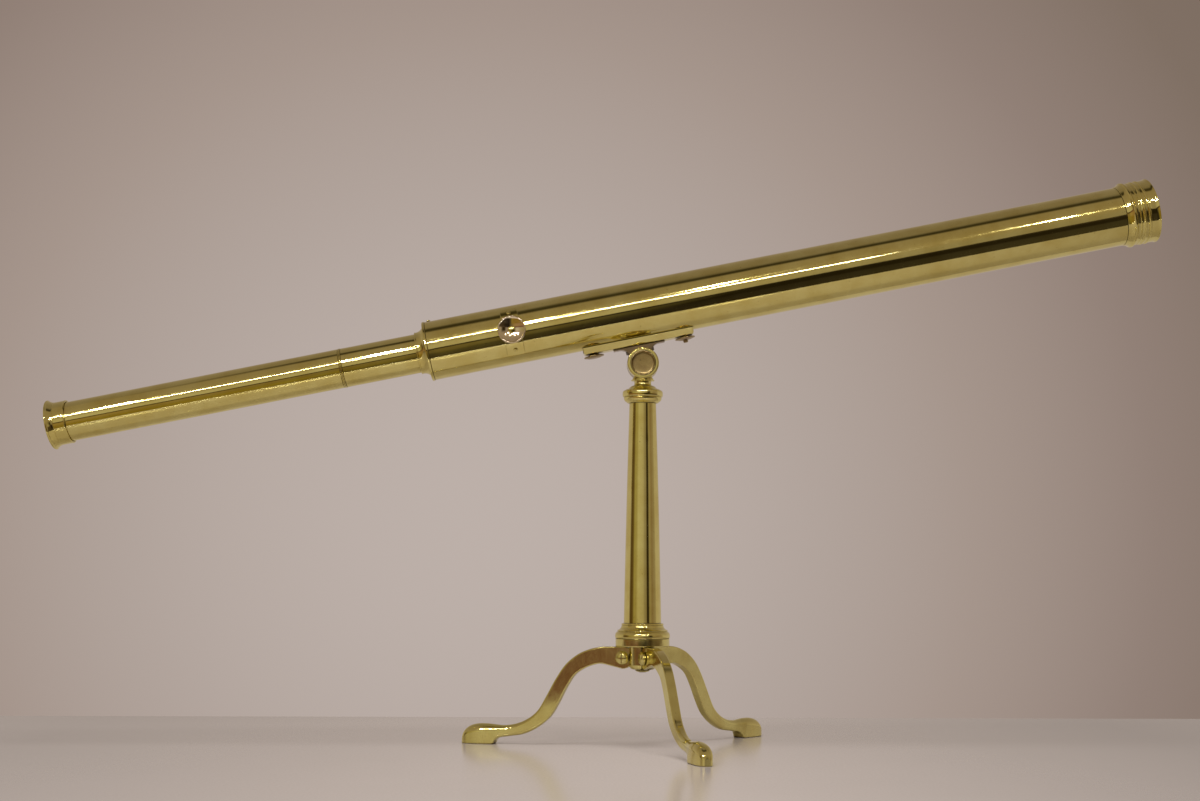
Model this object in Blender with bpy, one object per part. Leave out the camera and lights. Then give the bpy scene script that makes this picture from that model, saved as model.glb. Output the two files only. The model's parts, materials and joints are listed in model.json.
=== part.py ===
"""Brass library telescope on a folding pillar-and-claw stand.

Metres, +Z up. The stand is drawn about the axis of its column, the head about
its altitude pivot, and everything on the telescope in the pivot's own frame:
u runs along the tube towards the objective, v square to it and upwards, and y
across, away from the focusing knob. The tube's own axis lies TUBE_RISE above the pivot.
The stand stacks up from the leg hinges and down from the pivot; the column fills the
height that is left between them.
"""
import bpy
import bmesh
from math import cos, pi, radians, sin, sqrt
from mathutils import Matrix, Vector

# ---------------------------------------------------------------- fits
GAP = 0.0003             # between pieces that touch, screw or slide together
SWING = 0.0005           # beside anything that turns

# ---------------------------------------------------------------- driving sizes
PIVOT_HEIGHT = 0.3743    # altitude pivot above the surface the feet stand on
ALTITUDE = radians(11.45)
TUBE_RADIUS = 0.02925    # main tube, outside
TUBE_TAIL = -0.2042      # u of the main tube's eyepiece end
TUBE_NOSE = 0.4965       # u of its objective end
DRAW_RADIUS = 0.0195     # draw tube and eyepiece tube, outside
DRAW_SHOWN = 0.0878      # length of the draw tube outside the main tube
DRAW_ENGAGED = 0.1342    # and inside it
EYEPIECE_LENGTH = 0.2915
FOCUS_TRAVEL = 0.0350    # each way
COLUMN_TOP_RADIUS = 0.0133
COLUMN_FOOT_RADIUS = 0.0184
KNUCKLE_RADIUS = 0.0156
HINGE_HEIGHT = 0.0860    # leg hinges above the surface
LEG_REACH = 0.1825       # toes from the column axis
LEG_HALF_WIDTH = 0.0046
LEG_ROOT_RADIUS = 0.0107
LEG_AZIMUTHS = {"left": radians(166.2), "front": radians(286.2), "back": radians(46.2)}

# ---------------------------------------------------------------- tubes
TUBE_WALL = 0.0009
TAIL_SCREWS = {"tail_screw_top": 0.0, "tail_screw_far": radians(-125)}   # turned from v
TAIL_SCREW_RADIUS = 0.0010
TAIL_SCREW_AT = TUBE_TAIL + 0.0040
DRAW_WALL = 0.0008
DRAW_INNER_END = TUBE_TAIL + DRAW_ENGAGED
COUPLING_AT = TUBE_TAIL - DRAW_SHOWN   # u where the eyepiece tube screws on to the draw tube
COUPLING_THREAD = 0.0080 # length of its thread in each tube
COUPLING_WALL = 0.0012
EYE_END = COUPLING_AT - EYEPIECE_LENGTH

# ---------------------------------------------------------------- rack and pinion
PINION_AT = TUBE_TAIL + 0.0837   # u of the focusing axis
MODULE = 0.0008
PINION_TEETH = 12
PINION_FACE = 0.0046     # width of the teeth
KNOB_RADIUS = 0.0138
KNOB_DEPTH = 0.0080
KNOB_DISH = 0.0018       # depth of its dished face
SHAFT_RADIUS = 0.0025
SADDLE_LENGTH = 0.0170   # pinion saddle along the tube
SADDLE_SPAN = radians(96)   # and around it
SADDLE_WALL = 0.0014
SADDLE_BOSS = 0.0034     # height of the saddle's boss over the tube
SADDLE_BOSS_RADIUS = 0.0066
SADDLE_SCREWS = {"saddle_screw_top": radians(36), "saddle_screw_bottom": radians(-36)}
RACK_DEPTH = 0.0042      # rack body under its teeth
RACK_OUTSIDE = DRAW_RADIUS + 0.0058   # y of the rack's outer side
TOOTH_RISE = 0.7         # addendum and dedendum, as shares of the module
TOOTH_ROOT = 1.0

# ---------------------------------------------------------------- objective and eyepiece
OBJECTIVE_RADIUS = TUBE_RADIUS - 0.00345
CELL_RIM = TUBE_NOSE + 0.0330    # u of the objective cell's front rim
STOP_AT = 0.2000         # u of the light stop
STOP_RADIUS = 0.0200     # of its opening
LENS_RADIUS = DRAW_RADIUS - 0.0035
EYE_HOLE = 0.0060
BEAD_HALF = 0.0011       # half the coupling's visible bead
CAP_SLEEVE = 0.0190      # length of the eyepiece cap over the tube
ERECTOR_TUBE = (EYE_END + 0.0535, EYE_END + 0.2335)   # u of the lens tube's ends
ERECTOR_WALL = 0.0008

# ---------------------------------------------------------------- head
BAR_HALF_LENGTH = 0.0555
BAR_HALF_WIDTH = 0.0110
BAR_UNDERSIDE = KNUCKLE_RADIUS + 0.0036   # v
BAR_WEB = 0.00485        # thickness of the bar on its centre line
BAR_CHAMFER = 0.0032     # along its lower edges
BAR_ROUNDING = 0.0026    # of its ends
TUBE_RISE = BAR_UNDERSIDE + BAR_WEB + GAP + TUBE_RADIUS   # tube axis above the pivot
PAD_AT = BAR_HALF_LENGTH - 0.0093   # u of the thumb screws, each side of the pivot
PAD_HALF_WIDTH = 0.0075
PAD_LENGTH = 0.0160
PAD_FLOOR = 0.0024       # metal left in the bar under each pad
THUMB_RADIUS = 0.0100
THUMB_SHANK = 0.0022
THUMB_COLLAR = 0.0052
BRACKET_HALF_LENGTH = 0.0258
BRACKET_HALF_WIDTH = 0.0050
BRACKET_WING = 0.0014    # thickness of its flange
BRACKET_FILLET = 0.0095
BRACKET_SCREWS = (-0.0125, 0.0125)   # u
BRACKET_SCREW_RADIUS = 0.0016
COUNTERSINK = 0.0030     # radius of the bracket screws' heads
CHEEK_OUTSIDE = 0.0130   # half width over both cheeks
CHEEK_EDGE = 0.0009      # chamfer round them
PIVOT_SHAFT = 0.0040
CAP_RADIUS = KNUCKLE_RADIUS - 0.0033
CAP_DEPTH = 0.0042       # dished caps of the pivot, let into the cheeks
CAP_DISH = 0.0022
HEAD_RISE = KNUCKLE_RADIUS + 0.0071   # pivot above the top of the collar
NECK_RADIUS = 0.0085
NECK_FOOT_RADIUS = 0.0114
LEDGE_RADIUS = 0.0116    # small ledge under the cheeks
SPINDLE_RADIUS = 0.0060
SPINDLE_THREAD = 0.0030

# ---------------------------------------------------------------- stand
COLLAR_TOP = PIVOT_HEIGHT - HEAD_RISE
COLLAR_HEIGHT = 0.0164
COLLAR_FOOT = COLLAR_TOP - COLLAR_HEIGHT   # and the top of the column
COLLAR_RADIUS = COLUMN_TOP_RADIUS + 0.0067
COLLAR_BOWL = 0.0060     # height of the bowl under the collar's drum
COLLAR_DRUM = 0.0068
COLLAR_SPIGOT = 0.0140   # and its length inside the column
COLLAR_LINING = 0.0016   # wall of that spigot
SPINDLE_SHOULDER = COLLAR_FOOT + 0.0030
FLANGE_UNDERSIDE = HINGE_HEIGHT + LEG_ROOT_RADIUS + GAP
FLANGE_TOP = FLANGE_UNDERSIDE + 0.0077
FLANGE_RADIUS = COLUMN_FOOT_RADIUS + 0.0080
COLUMN_FOOT = FLANGE_TOP + 0.0148
COLUMN_WALL = 0.0020
HUB_FOOT = HINGE_HEIGHT - LEG_ROOT_RADIUS - SWING
HINGE_RADIUS = FLANGE_RADIUS - 0.0073   # leg hinges from the column axis
HUB_RADIUS = HINGE_RADIUS - 0.0059
ROD_RADIUS = 0.0040
PLUG_HEIGHT = 0.0050
TIE_NUT_RADIUS = 0.0062
TIE_NUT_HEIGHT = 0.0018
LUG_HALF_WIDTH = 0.0017
LUG_RADIUS = 0.0074
SCREW_RADIUS = 0.0025
SCREW_HEAD_RADIUS = 0.0064
HEAD_HEIGHT = 0.0050     # domed heads of the leg hinges
SLOT_WIDTH = 0.0010
SLOT_DEPTH = 0.0010

ROUND = 24               # sides of the large turned pieces
MEDIUM = 16              # of lenses, caps and knobs
SMALL = 12               # of screws and other small ones

BRASS = (0.62, 0.50, 0.20)
DARK_BRASS = (0.40, 0.31, 0.13)
STEEL = (0.45, 0.44, 0.42)
GLASS = (0.80, 0.88, 0.86)


# ---------------------------------------------------------------- helpers
def material(name, colour, roughness, metallic):
    made = bpy.data.materials.new(name)
    made.use_nodes = True
    surface = made.node_tree.nodes["Principled BSDF"]
    surface.inputs["Base Color"].default_value = (*colour, 1.0)
    surface.inputs["Roughness"].default_value = roughness
    surface.inputs["Metallic"].default_value = metallic
    return made


def finish(name, bm, parent, look=(BRASS, 0.16, 1.0), place=None):
    """Turn a bmesh into a named object under its parent, with its own material."""
    bmesh.ops.recalc_face_normals(bm, faces=bm.faces)
    mesh = bpy.data.meshes.new(name)
    bm.to_mesh(mesh)
    bm.free()
    mesh.shade_smooth()
    mesh.set_sharp_from_angle(angle=radians(35))
    mesh.materials.append(material(name, *look))
    made = bpy.data.objects.new(name, mesh)
    bpy.context.collection.objects.link(made)
    made.parent = parent
    if place is not None:
        made.matrix_local = place
    return made


def empty(name, parent=None, place=None):
    made = bpy.data.objects.new(name, None)
    bpy.context.collection.objects.link(made)
    made.parent = parent
    if place is not None:
        made.matrix_local = place
    return made


def turned_mesh(outline, sides, closed=True):
    """Spin an outline of (radius, height) about +Z. An open outline ends on the axis."""
    bm = bmesh.new()
    corners = [bm.verts.new((radius, 0.0, height)) for radius, height in outline]
    pairs = list(zip(corners, corners[1:]))
    if closed:
        pairs.append((corners[-1], corners[0]))
    edges = [bm.edges.new(pair) for pair in pairs]
    bmesh.ops.spin(bm, geom=corners + edges, axis=(0, 0, 1), cent=(0, 0, 0),
                   steps=sides, angle=2 * pi)
    bmesh.ops.remove_doubles(bm, verts=bm.verts, dist=1e-6)
    return bm


def prism_mesh(outline, low, high):
    """Extrude an outline drawn in (x, z) along y."""
    bm = bmesh.new()
    face = bm.faces.new([bm.verts.new((x, low, z)) for x, z in outline])
    walls = bmesh.ops.extrude_face_region(bm, geom=[face])
    moved = [item for item in walls["geom"] if isinstance(item, bmesh.types.BMVert)]
    bmesh.ops.translate(bm, verts=moved, vec=(0, high - low, 0))
    return bm


def box_mesh(low, high):
    bm = bmesh.new()
    bmesh.ops.create_cube(bm, size=1.0)
    size = Vector(high) - Vector(low)
    middle = (Vector(high) + Vector(low)) / 2
    bmesh.ops.scale(bm, verts=bm.verts, vec=size)
    bmesh.ops.translate(bm, verts=bm.verts, vec=middle)
    return bm


def arc(centre, radius, start, end, steps):
    """Points of a circular arc, angles in degrees."""
    angles = [radians(start + (end - start) * step / steps) for step in range(steps + 1)]
    return [(centre[0] + radius * cos(angle), centre[1] + radius * sin(angle)) for angle in angles]


def tube_outline(outside, inside, low, high):
    return [(inside, low), (outside, low), (outside, high), (inside, high)]


def combine(target, helper, operation):
    """Cut or join with a helper object that is left out of the model itself."""
    helper.hide_render = True
    helper.display_type = 'WIRE'
    change = target.modifiers.new(helper.name, 'BOOLEAN')
    change.operation = operation
    change.object = helper


def along_tube(centre_u=0.0, rise=TUBE_RISE):
    """Places a piece turned about +Z on the tube's axis, its +Z along u."""
    return Matrix.Translation((centre_u, 0, rise)) @ Matrix.Rotation(pi / 2, 4, 'Y')


def across(place, towards_knob=True):
    """Places a piece turned about +Z with its +Z across the tube."""
    turn = pi / 2 if towards_knob else -pi / 2
    return Matrix.Translation(place) @ Matrix.Rotation(turn, 4, 'X')


# ---------------------------------------------------------------- stand
def leg_place(azimuth):
    """Leg frame: origin on the hinge, +X outwards, +Z up."""
    spin = Matrix.Rotation(azimuth, 4, 'Z')
    return spin @ Matrix.Translation((HINGE_RADIUS, 0, HINGE_HEIGHT))


def join_meshes(meshes, places):
    joined = bmesh.new()
    for part, place in zip(meshes, places):
        bmesh.ops.transform(part, matrix=place, verts=part.verts)
        mesh = bpy.data.meshes.new("piece")
        part.to_mesh(mesh)
        part.free()
        joined.from_mesh(mesh)
        bpy.data.meshes.remove(mesh)
    return joined


def leg_hub(stand):
    """Turned flange and core; a pocket and a lug for each forked leg."""
    edge = 0.0012
    bore = ROD_RADIUS + GAP
    outline = [(bore, HUB_FOOT), (HUB_RADIUS - 3 * edge, HUB_FOOT), (HUB_RADIUS - edge, HUB_FOOT + edge),
               (HUB_RADIUS, HUB_FOOT + 3 * edge), (HUB_RADIUS, FLANGE_UNDERSIDE),
               (FLANGE_RADIUS - edge / 2, FLANGE_UNDERSIDE), (FLANGE_RADIUS, FLANGE_UNDERSIDE + edge / 2),
               (FLANGE_RADIUS, FLANGE_TOP), (bore, FLANGE_TOP)]
    hub = finish("leg_hub", turned_mesh(outline, ROUND), stand)
    places = [leg_place(azimuth) for azimuth in LEG_AZIMUTHS.values()]
    half = LEG_HALF_WIDTH + SWING
    back = -LEG_ROOT_RADIUS - SWING
    pockets = [box_mesh((back, -half, HUB_FOOT - HINGE_HEIGHT - edge),
                        (HUB_RADIUS, half, LEG_ROOT_RADIUS + SWING)) for _ in places]
    combine(hub, finish("hub_pockets", join_meshes(pockets, places), stand), 'DIFFERENCE')
    inboard = back - edge
    stadium = [(inboard, -LUG_RADIUS)] + arc((0, 0), LUG_RADIUS, -90, 90, 12) + [(inboard, LUG_RADIUS)]
    lugs = [prism_mesh(stadium, -LUG_HALF_WIDTH, LUG_HALF_WIDTH) for _ in places]
    combine(hub, finish("hub_lugs", join_meshes(lugs, places), stand), 'UNION')
    holes = [pin_cutter(SCREW_RADIUS + GAP, HUB_RADIUS) for _ in places]
    combine(hub, finish("hub_pin_holes", join_meshes(holes, places), stand), 'DIFFERENCE')
    return hub


def pin_cutter(radius, half_length):
    """Cylinder along y through the origin."""
    bm = turned_mesh([(0, -half_length), (radius, -half_length), (radius, half_length), (0, half_length)],
                     SMALL, closed=False)
    bmesh.ops.rotate(bm, verts=bm.verts, cent=(0, 0, 0), matrix=Matrix.Rotation(pi / 2, 3, 'X'))
    return bm


def leg_stations():
    """Sections down a leg in its own frame: ridge point, under point, half width,
    rounding of the ridge and of the underside. Past the root the points are shares
    of the leg's reach and of the hinge's height, and the widths shares of the waist."""
    stations = []
    for angle in (12, 38, 64, 90):
        reach = LEG_ROOT_RADIUS * cos(radians(angle))
        rise = LEG_ROOT_RADIUS * sin(radians(angle))
        stations.append(((-reach, rise), (-reach, -rise), LEG_HALF_WIDTH, 0.0006, 0.0006))
    cabriole = [
        ((0.067, 1.124), (0.067, 0.905), 1.00, 0.0010, 0.0010),
        ((0.134, 1.120), (0.131, 0.929), 1.00, 0.0014, 0.0014),
        ((0.204, 1.091), (0.186, 0.910), 1.00, 0.0018, 0.0018),
        ((0.278, 1.029), (0.244, 0.864), 1.00, 0.0020, 0.0020),
        ((0.351, 0.915), (0.296, 0.793), 1.00, 0.0022, 0.0022),
        ((0.412, 0.750), (0.345, 0.653), 1.00, 0.0024, 0.0024),
        ((0.471, 0.552), (0.394, 0.474), 1.00, 0.0026, 0.0026),
        ((0.523, 0.392), (0.446, 0.320), 1.00, 0.0028, 0.0028),
        ((0.587, 0.293), (0.526, 0.195), 1.00, 0.0030, 0.0030),
        ((0.660, 0.235), (0.611, 0.120), 1.00, 0.0030, 0.0030),
        ((0.731, 0.214), (0.700, 0.092), 1.09, 0.0034, 0.0024),
        ((0.780, 0.219), (0.761, 0.074), 1.30, 0.0040, 0.0020),
        ((0.813, 0.226), (0.788, 0.040), 1.50, 0.0046, 0.0014),
        ((0.844, 0.229), (0.804, 0.000), 1.65, 0.0052, 0.0010),
        ((0.893, 0.228), (0.868, 0.000), 1.76, 0.0054, 0.0008),
        ((0.942, 0.207), (0.927, 0.000), 1.72, 0.0052, 0.0008),
        ((0.976, 0.170), (0.969, 0.000), 1.52, 0.0044, 0.0008),
        ((1.000, 0.087), (1.000, 0.000), 1.00, 0.0020, 0.0008)]
    length = LEG_REACH - HINGE_RADIUS
    for ridge, under, width, upper, lower in cabriole:
        stations.append(((ridge[0] * length, (ridge[1] - 1) * HINGE_HEIGHT),
                         (under[0] * length, (under[1] - 1) * HINGE_HEIGHT),
                         width * LEG_HALF_WIDTH, upper, lower))
    return stations


def leg_mesh():
    """Cabriole leg with a slipper foot, lofted through its sections, in the leg frame."""
    bm = bmesh.new()
    rings = []
    for ridge, under, half, upper, lower in leg_stations():
        top = Vector((ridge[0], 0, ridge[1]))
        foot = Vector((under[0], 0, under[1]))
        down = (foot - top).normalized()
        depth = (foot - top).length
        corners = [(half - upper, 0), (half, upper), (half, depth - lower), (half - lower, depth),
                   (lower - half, depth), (-half, depth - lower), (-half, upper), (upper - half, 0)]
        rings.append([bm.verts.new(top + down * fall + Vector((0, side, 0))) for side, fall in corners])
    for near, far in zip(rings, rings[1:]):
        for index in range(len(near)):
            following = (index + 1) % len(near)
            bm.faces.new((near[index], near[following], far[following], far[index]))
    bm.faces.new(rings[0])
    bm.faces.new(rings[-1])
    return bm


def leg(side, stand):
    """One folding leg with its hinge screw and the barrel nut it screws into."""
    hinge = empty("leg_hinge_" + side, stand, leg_place(LEG_AZIMUTHS[side]))
    made = finish("leg_" + side, leg_mesh(), hinge)
    slot_half = LUG_HALF_WIDTH + GAP
    slot = box_mesh((-2 * LEG_ROOT_RADIUS, -slot_half, -2 * LEG_ROOT_RADIUS),
                    (LUG_RADIUS + SWING, slot_half, 2 * LEG_ROOT_RADIUS))
    combine(made, finish("leg_slot_" + side, slot, hinge), 'DIFFERENCE')
    bore = pin_cutter(SCREW_RADIUS + GAP, 2 * LEG_HALF_WIDTH)
    combine(made, finish("leg_bore_" + side, bore, hinge), 'DIFFERENCE')
    head_base = LEG_HALF_WIDTH + GAP
    split = LUG_HALF_WIDTH + 2 * GAP
    screw = [(0, -split), (SCREW_RADIUS, -split), (SCREW_RADIUS, head_base)] + domed_head(head_base)
    near_side = Matrix.Rotation(-pi / 2, 4, 'X')
    far_side = Matrix.Rotation(pi / 2, 4, 'X')
    slotted(finish("leg_screw_" + side, turned_mesh(screw, SMALL, closed=False), hinge, place=near_side),
            head_base + HEAD_HEIGHT, SCREW_HEAD_RADIUS)
    nut = [(0, split + GAP), (SCREW_RADIUS, split + GAP), (SCREW_RADIUS, head_base)] + domed_head(head_base)
    slotted(finish("leg_nut_" + side, turned_mesh(nut, SMALL, closed=False), hinge, place=far_side),
            head_base + HEAD_HEIGHT, SCREW_HEAD_RADIUS)


def domed_head(base):
    """Outline of a domed cheese head standing on base, down to the axis."""
    side = HEAD_HEIGHT * 0.5
    dome = [(SCREW_HEAD_RADIUS * cos(radians(angle)), base + side + side * sin(radians(angle)))
            for angle in (0, 35, 68)]
    return [(SCREW_HEAD_RADIUS, base)] + dome + [(0, base + HEAD_HEIGHT)]


def slotted(screw, top, radius, width=SLOT_WIDTH, depth=SLOT_DEPTH):
    """Cut a driver slot across a turned head whose top is at this height."""
    slot = box_mesh((-width / 2, -2 * radius, top - depth), (width / 2, 2 * radius, top + depth))
    cutter = finish(screw.name + "_slot", slot, screw.parent)
    cutter.matrix_local = screw.matrix_local
    combine(screw, cutter, 'DIFFERENCE')


def base_moulding(stand):
    """Ring, cavetto and bead that the column stands in."""
    low = FLANGE_TOP + GAP
    ring = FLANGE_RADIUS + GAP
    bore = ROD_RADIUS + GAP
    seat = COLUMN_FOOT + GAP
    hollow = (ring - 0.0015, COLUMN_FOOT - 0.0019)
    outline = [(bore, low), (ring - 0.0006, low), (ring, low + 0.0008), (ring + 0.0002, low + 0.0035),
               (ring - 0.0012, low + 0.0058), (ring - 0.0022, low + 0.0072), (ring - 0.0027, low + 0.0078)]
    outline += arc(hollow, hollow[1] - low - 0.0077, 255, 182, 3)
    outline += [(COLUMN_FOOT_RADIUS + 0.0021, COLUMN_FOOT - 0.0016),
                (COLUMN_FOOT_RADIUS + 0.0017, COLUMN_FOOT - 0.0006), (COLUMN_FOOT_RADIUS + 0.0006, COLUMN_FOOT),
                (COLUMN_FOOT_RADIUS - COLUMN_WALL - GAP, COLUMN_FOOT),
                (COLUMN_FOOT_RADIUS - COLUMN_WALL - 2 * GAP, seat + 0.0060), (bore, seat + 0.0060)]
    return finish("base_moulding", turned_mesh(outline, ROUND), stand)


def column(stand):
    """Hollow column with a slight swelling taper."""
    low = COLUMN_FOOT + GAP
    high = COLLAR_FOOT - GAP
    steps = 5
    outside = []
    for step in range(steps + 1):
        share = step / steps
        swell = 0.0003 * sin(pi * share)
        radius = COLUMN_FOOT_RADIUS + (COLUMN_TOP_RADIUS - COLUMN_FOOT_RADIUS) * share + swell
        outside.append((radius, low + (high - low) * share))
    inside = [(radius - COLUMN_WALL, height) for radius, height in (outside[-1], outside[0])]
    return finish("column", turned_mesh(outside + inside, ROUND), stand)


def column_collar(stand):
    """Turned collar on top of the column, bored for the head's spindle."""
    low = COLLAR_FOOT
    spigot = COLUMN_TOP_RADIUS - COLUMN_WALL - GAP
    bore = SPINDLE_RADIUS + GAP
    pocket = spigot - COLLAR_LINING
    line = low + COLLAR_BOWL
    high = line + COLLAR_DRUM
    outline = [(pocket, low - COLLAR_SPIGOT), (spigot, low - COLLAR_SPIGOT), (spigot, low),
               (COLUMN_TOP_RADIUS + 0.0016, low), (COLLAR_RADIUS - 0.0042, low + 0.0010),
               (COLLAR_RADIUS - 0.0016, low + 0.0034), (COLLAR_RADIUS - 0.0012, line - 0.0006),
               (COLLAR_RADIUS - 0.0014, line), (COLLAR_RADIUS - 0.0003, line + 0.0006),
               (COLLAR_RADIUS, line + 0.0026), (COLLAR_RADIUS - 0.0001, high - 0.0022),
               (COLLAR_RADIUS - 0.0020, high), (COLLAR_RADIUS - 0.0040, high + 0.0010),
               (NECK_FOOT_RADIUS + 0.0014, COLLAR_TOP - 0.0010), (NECK_FOOT_RADIUS + 0.0008, COLLAR_TOP),
               (bore, COLLAR_TOP), (bore, SPINDLE_SHOULDER), (pocket, SPINDLE_SHOULDER)]
    return finish("column_collar", turned_mesh(outline, ROUND), stand)


def tie_rod(stand):
    """Rod that clamps hub, moulding, column and collar together, with its nut and top plug."""
    plug_radius = COLUMN_TOP_RADIUS - COLUMN_WALL - GAP - COLLAR_LINING - GAP
    plug_low = COLLAR_FOOT - COLLAR_SPIGOT
    rod_end = plug_low + PLUG_HEIGHT - GAP
    plug = tube_outline(plug_radius, ROD_RADIUS + GAP, plug_low, plug_low + PLUG_HEIGHT)
    finish("rod_plug", turned_mesh(plug, SMALL), stand)
    nut_low = HUB_FOOT - GAP - TIE_NUT_HEIGHT
    rod = [(0, nut_low - 0.0006), (ROD_RADIUS - 0.0006, nut_low - 0.0006), (ROD_RADIUS, nut_low),
           (ROD_RADIUS, rod_end), (0, rod_end)]
    finish("tie_rod", turned_mesh(rod, SMALL, closed=False), stand, (STEEL, 0.35, 1.0))
    nut = tube_outline(TIE_NUT_RADIUS, ROD_RADIUS + GAP, nut_low, HUB_FOOT - GAP)
    finish("tie_nut", turned_mesh(nut, SMALL), stand)


# ---------------------------------------------------------------- head
def yoke(swivel):
    """Neck and two cheeks of the compass joint, on a spindle that turns in the collar."""
    low = COLLAR_TOP + GAP
    pivot = PIVOT_HEIGHT
    spindle_end = COLLAR_FOOT - 0.0058
    joined = pivot - 0.5 * KNUCKLE_RADIUS
    outline = [(0, spindle_end), (SPINDLE_THREAD, spindle_end), (SPINDLE_THREAD, SPINDLE_SHOULDER),
               (SPINDLE_RADIUS, SPINDLE_SHOULDER), (SPINDLE_RADIUS, low), (NECK_FOOT_RADIUS, low),
               (NECK_FOOT_RADIUS - 0.0016, low + 0.0007), (NECK_RADIUS, low + 0.0018),
               (NECK_RADIUS, low + 0.0052), (LEDGE_RADIUS - 0.0003, low + 0.0054),
               (LEDGE_RADIUS, low + 0.0058), (LEDGE_RADIUS, low + 0.0075),
               (LEDGE_RADIUS - 0.0011, low + 0.0080), (LEDGE_RADIUS - 0.0011, joined), (0, joined)]
    made = finish("yoke", turned_mesh(outline, ROUND, closed=False), swivel)
    cheek = [(0, -CHEEK_OUTSIDE), (KNUCKLE_RADIUS - CHEEK_EDGE, -CHEEK_OUTSIDE),
             (KNUCKLE_RADIUS, CHEEK_EDGE - CHEEK_OUTSIDE), (KNUCKLE_RADIUS, CHEEK_OUTSIDE - CHEEK_EDGE),
             (KNUCKLE_RADIUS - CHEEK_EDGE, CHEEK_OUTSIDE), (0, CHEEK_OUTSIDE)]
    drum = finish("yoke_drum", turned_mesh(cheek, ROUND, closed=False), swivel,
                  place=across((0, 0, pivot)))
    combine(made, drum, 'UNION')
    gap_half = BRACKET_HALF_WIDTH + GAP
    reach = KNUCKLE_RADIUS + 0.0006
    slot = box_mesh((-2 * reach, -gap_half, pivot - reach), (2 * reach, gap_half, pivot + 2 * reach))
    combine(made, finish("yoke_slot", slot, swivel), 'DIFFERENCE')
    recess = CHEEK_OUTSIDE - CAP_DEPTH - GAP
    bore = [(0, -CHEEK_OUTSIDE - 0.001), (CAP_RADIUS + GAP, -CHEEK_OUTSIDE - 0.001),
            (CAP_RADIUS + GAP, -recess), (PIVOT_SHAFT + GAP, -recess), (PIVOT_SHAFT + GAP, recess),
            (CAP_RADIUS + GAP, recess), (CAP_RADIUS + GAP, CHEEK_OUTSIDE + 0.001), (0, CHEEK_OUTSIDE + 0.001)]
    hole = finish("yoke_bore", turned_mesh(bore, ROUND, closed=False), swivel, place=across((0, 0, pivot)))
    combine(made, hole, 'DIFFERENCE')
    return made


def pivot_caps(swivel):
    """Pivot pin with a dished cap on the knob side, and a matching cap nut behind."""
    pivot = (0, 0, PIVOT_HEIGHT)
    seat = CHEEK_OUTSIDE - CAP_DEPTH
    face = CHEEK_OUTSIDE - 0.0004
    half = BRACKET_HALF_WIDTH + GAP
    dish = [(CAP_RADIUS, seat), (CAP_RADIUS, face), (CAP_RADIUS - 0.0010, face),
            (CAP_RADIUS - 0.0020, face - CAP_DISH * 0.6), (CAP_RADIUS * 0.45, face - CAP_DISH),
            (0, face - CAP_DISH)]
    pin = [(0, -half), (PIVOT_SHAFT, -half), (PIVOT_SHAFT, seat)] + dish
    finish("pivot_pin", turned_mesh(pin, MEDIUM, closed=False), swivel, place=across(pivot))
    nut = [(0, half + GAP), (PIVOT_SHAFT, half + GAP), (PIVOT_SHAFT, seat)] + dish
    finish("pivot_nut", turned_mesh(nut, MEDIUM, closed=False), swivel, place=across(pivot, False))


def swivel_nut(swivel):
    """Washer and nut that hold the spindle in the collar."""
    low = SPINDLE_SHOULDER - GAP - 0.0009
    pocket = COLUMN_TOP_RADIUS - COLUMN_WALL - GAP - COLLAR_LINING
    washer = tube_outline(pocket - 0.0010, SPINDLE_THREAD + GAP, low, low + 0.0009)
    finish("swivel_washer", turned_mesh(washer, SMALL), swivel)
    nut = tube_outline(pocket - 0.0032, SPINDLE_THREAD + GAP, low - GAP - 0.0035, low - GAP)
    finish("swivel_nut", turned_mesh(nut, SMALL), swivel, (STEEL, 0.35, 1.0))


def bracket(tilt):
    """Tongue of the compass joint, flaring into the flange under the mounting bar."""
    top = BAR_UNDERSIDE - GAP
    wing = top - BRACKET_WING
    waist = KNUCKLE_RADIUS - 0.0051
    centre = (waist + BRACKET_FILLET, wing - BRACKET_FILLET)
    fillet_right = arc(centre, BRACKET_FILLET, 90, 152, 6)
    outline = [(BRACKET_HALF_LENGTH, top), (BRACKET_HALF_LENGTH, wing)] + fillet_right
    outline += arc((0, 0), KNUCKLE_RADIUS, 30, -210, 26)
    outline += [(-u, v) for u, v in reversed(fillet_right)]
    outline += [(-BRACKET_HALF_LENGTH, wing), (-BRACKET_HALF_LENGTH, top)]
    made = finish("bracket", prism_mesh(outline, -BRACKET_HALF_WIDTH, BRACKET_HALF_WIDTH), tilt,
                  (DARK_BRASS, 0.25, 1.0))
    bore = pin_cutter(PIVOT_SHAFT + GAP, 2 * BRACKET_HALF_WIDTH)
    combine(made, finish("bracket_bore", bore, tilt), 'DIFFERENCE')
    for u in BRACKET_SCREWS:
        hole = tube_cutter(BRACKET_SCREW_RADIUS + GAP, (u, top - 0.010), 0.020)
        combine(made, finish("bracket_hole_%+d" % (1 if u > 0 else -1), hole, tilt), 'DIFFERENCE')
    return made


def tube_cutter(radius, foot, length):
    """Upright cylinder standing on (u, v)."""
    bm = turned_mesh([(0, foot[1]), (radius, foot[1]), (radius, foot[1] + length), (0, foot[1] + length)],
                     SMALL, closed=False)
    bmesh.ops.translate(bm, verts=bm.verts, vec=(foot[0], 0, 0))
    return bm


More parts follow.
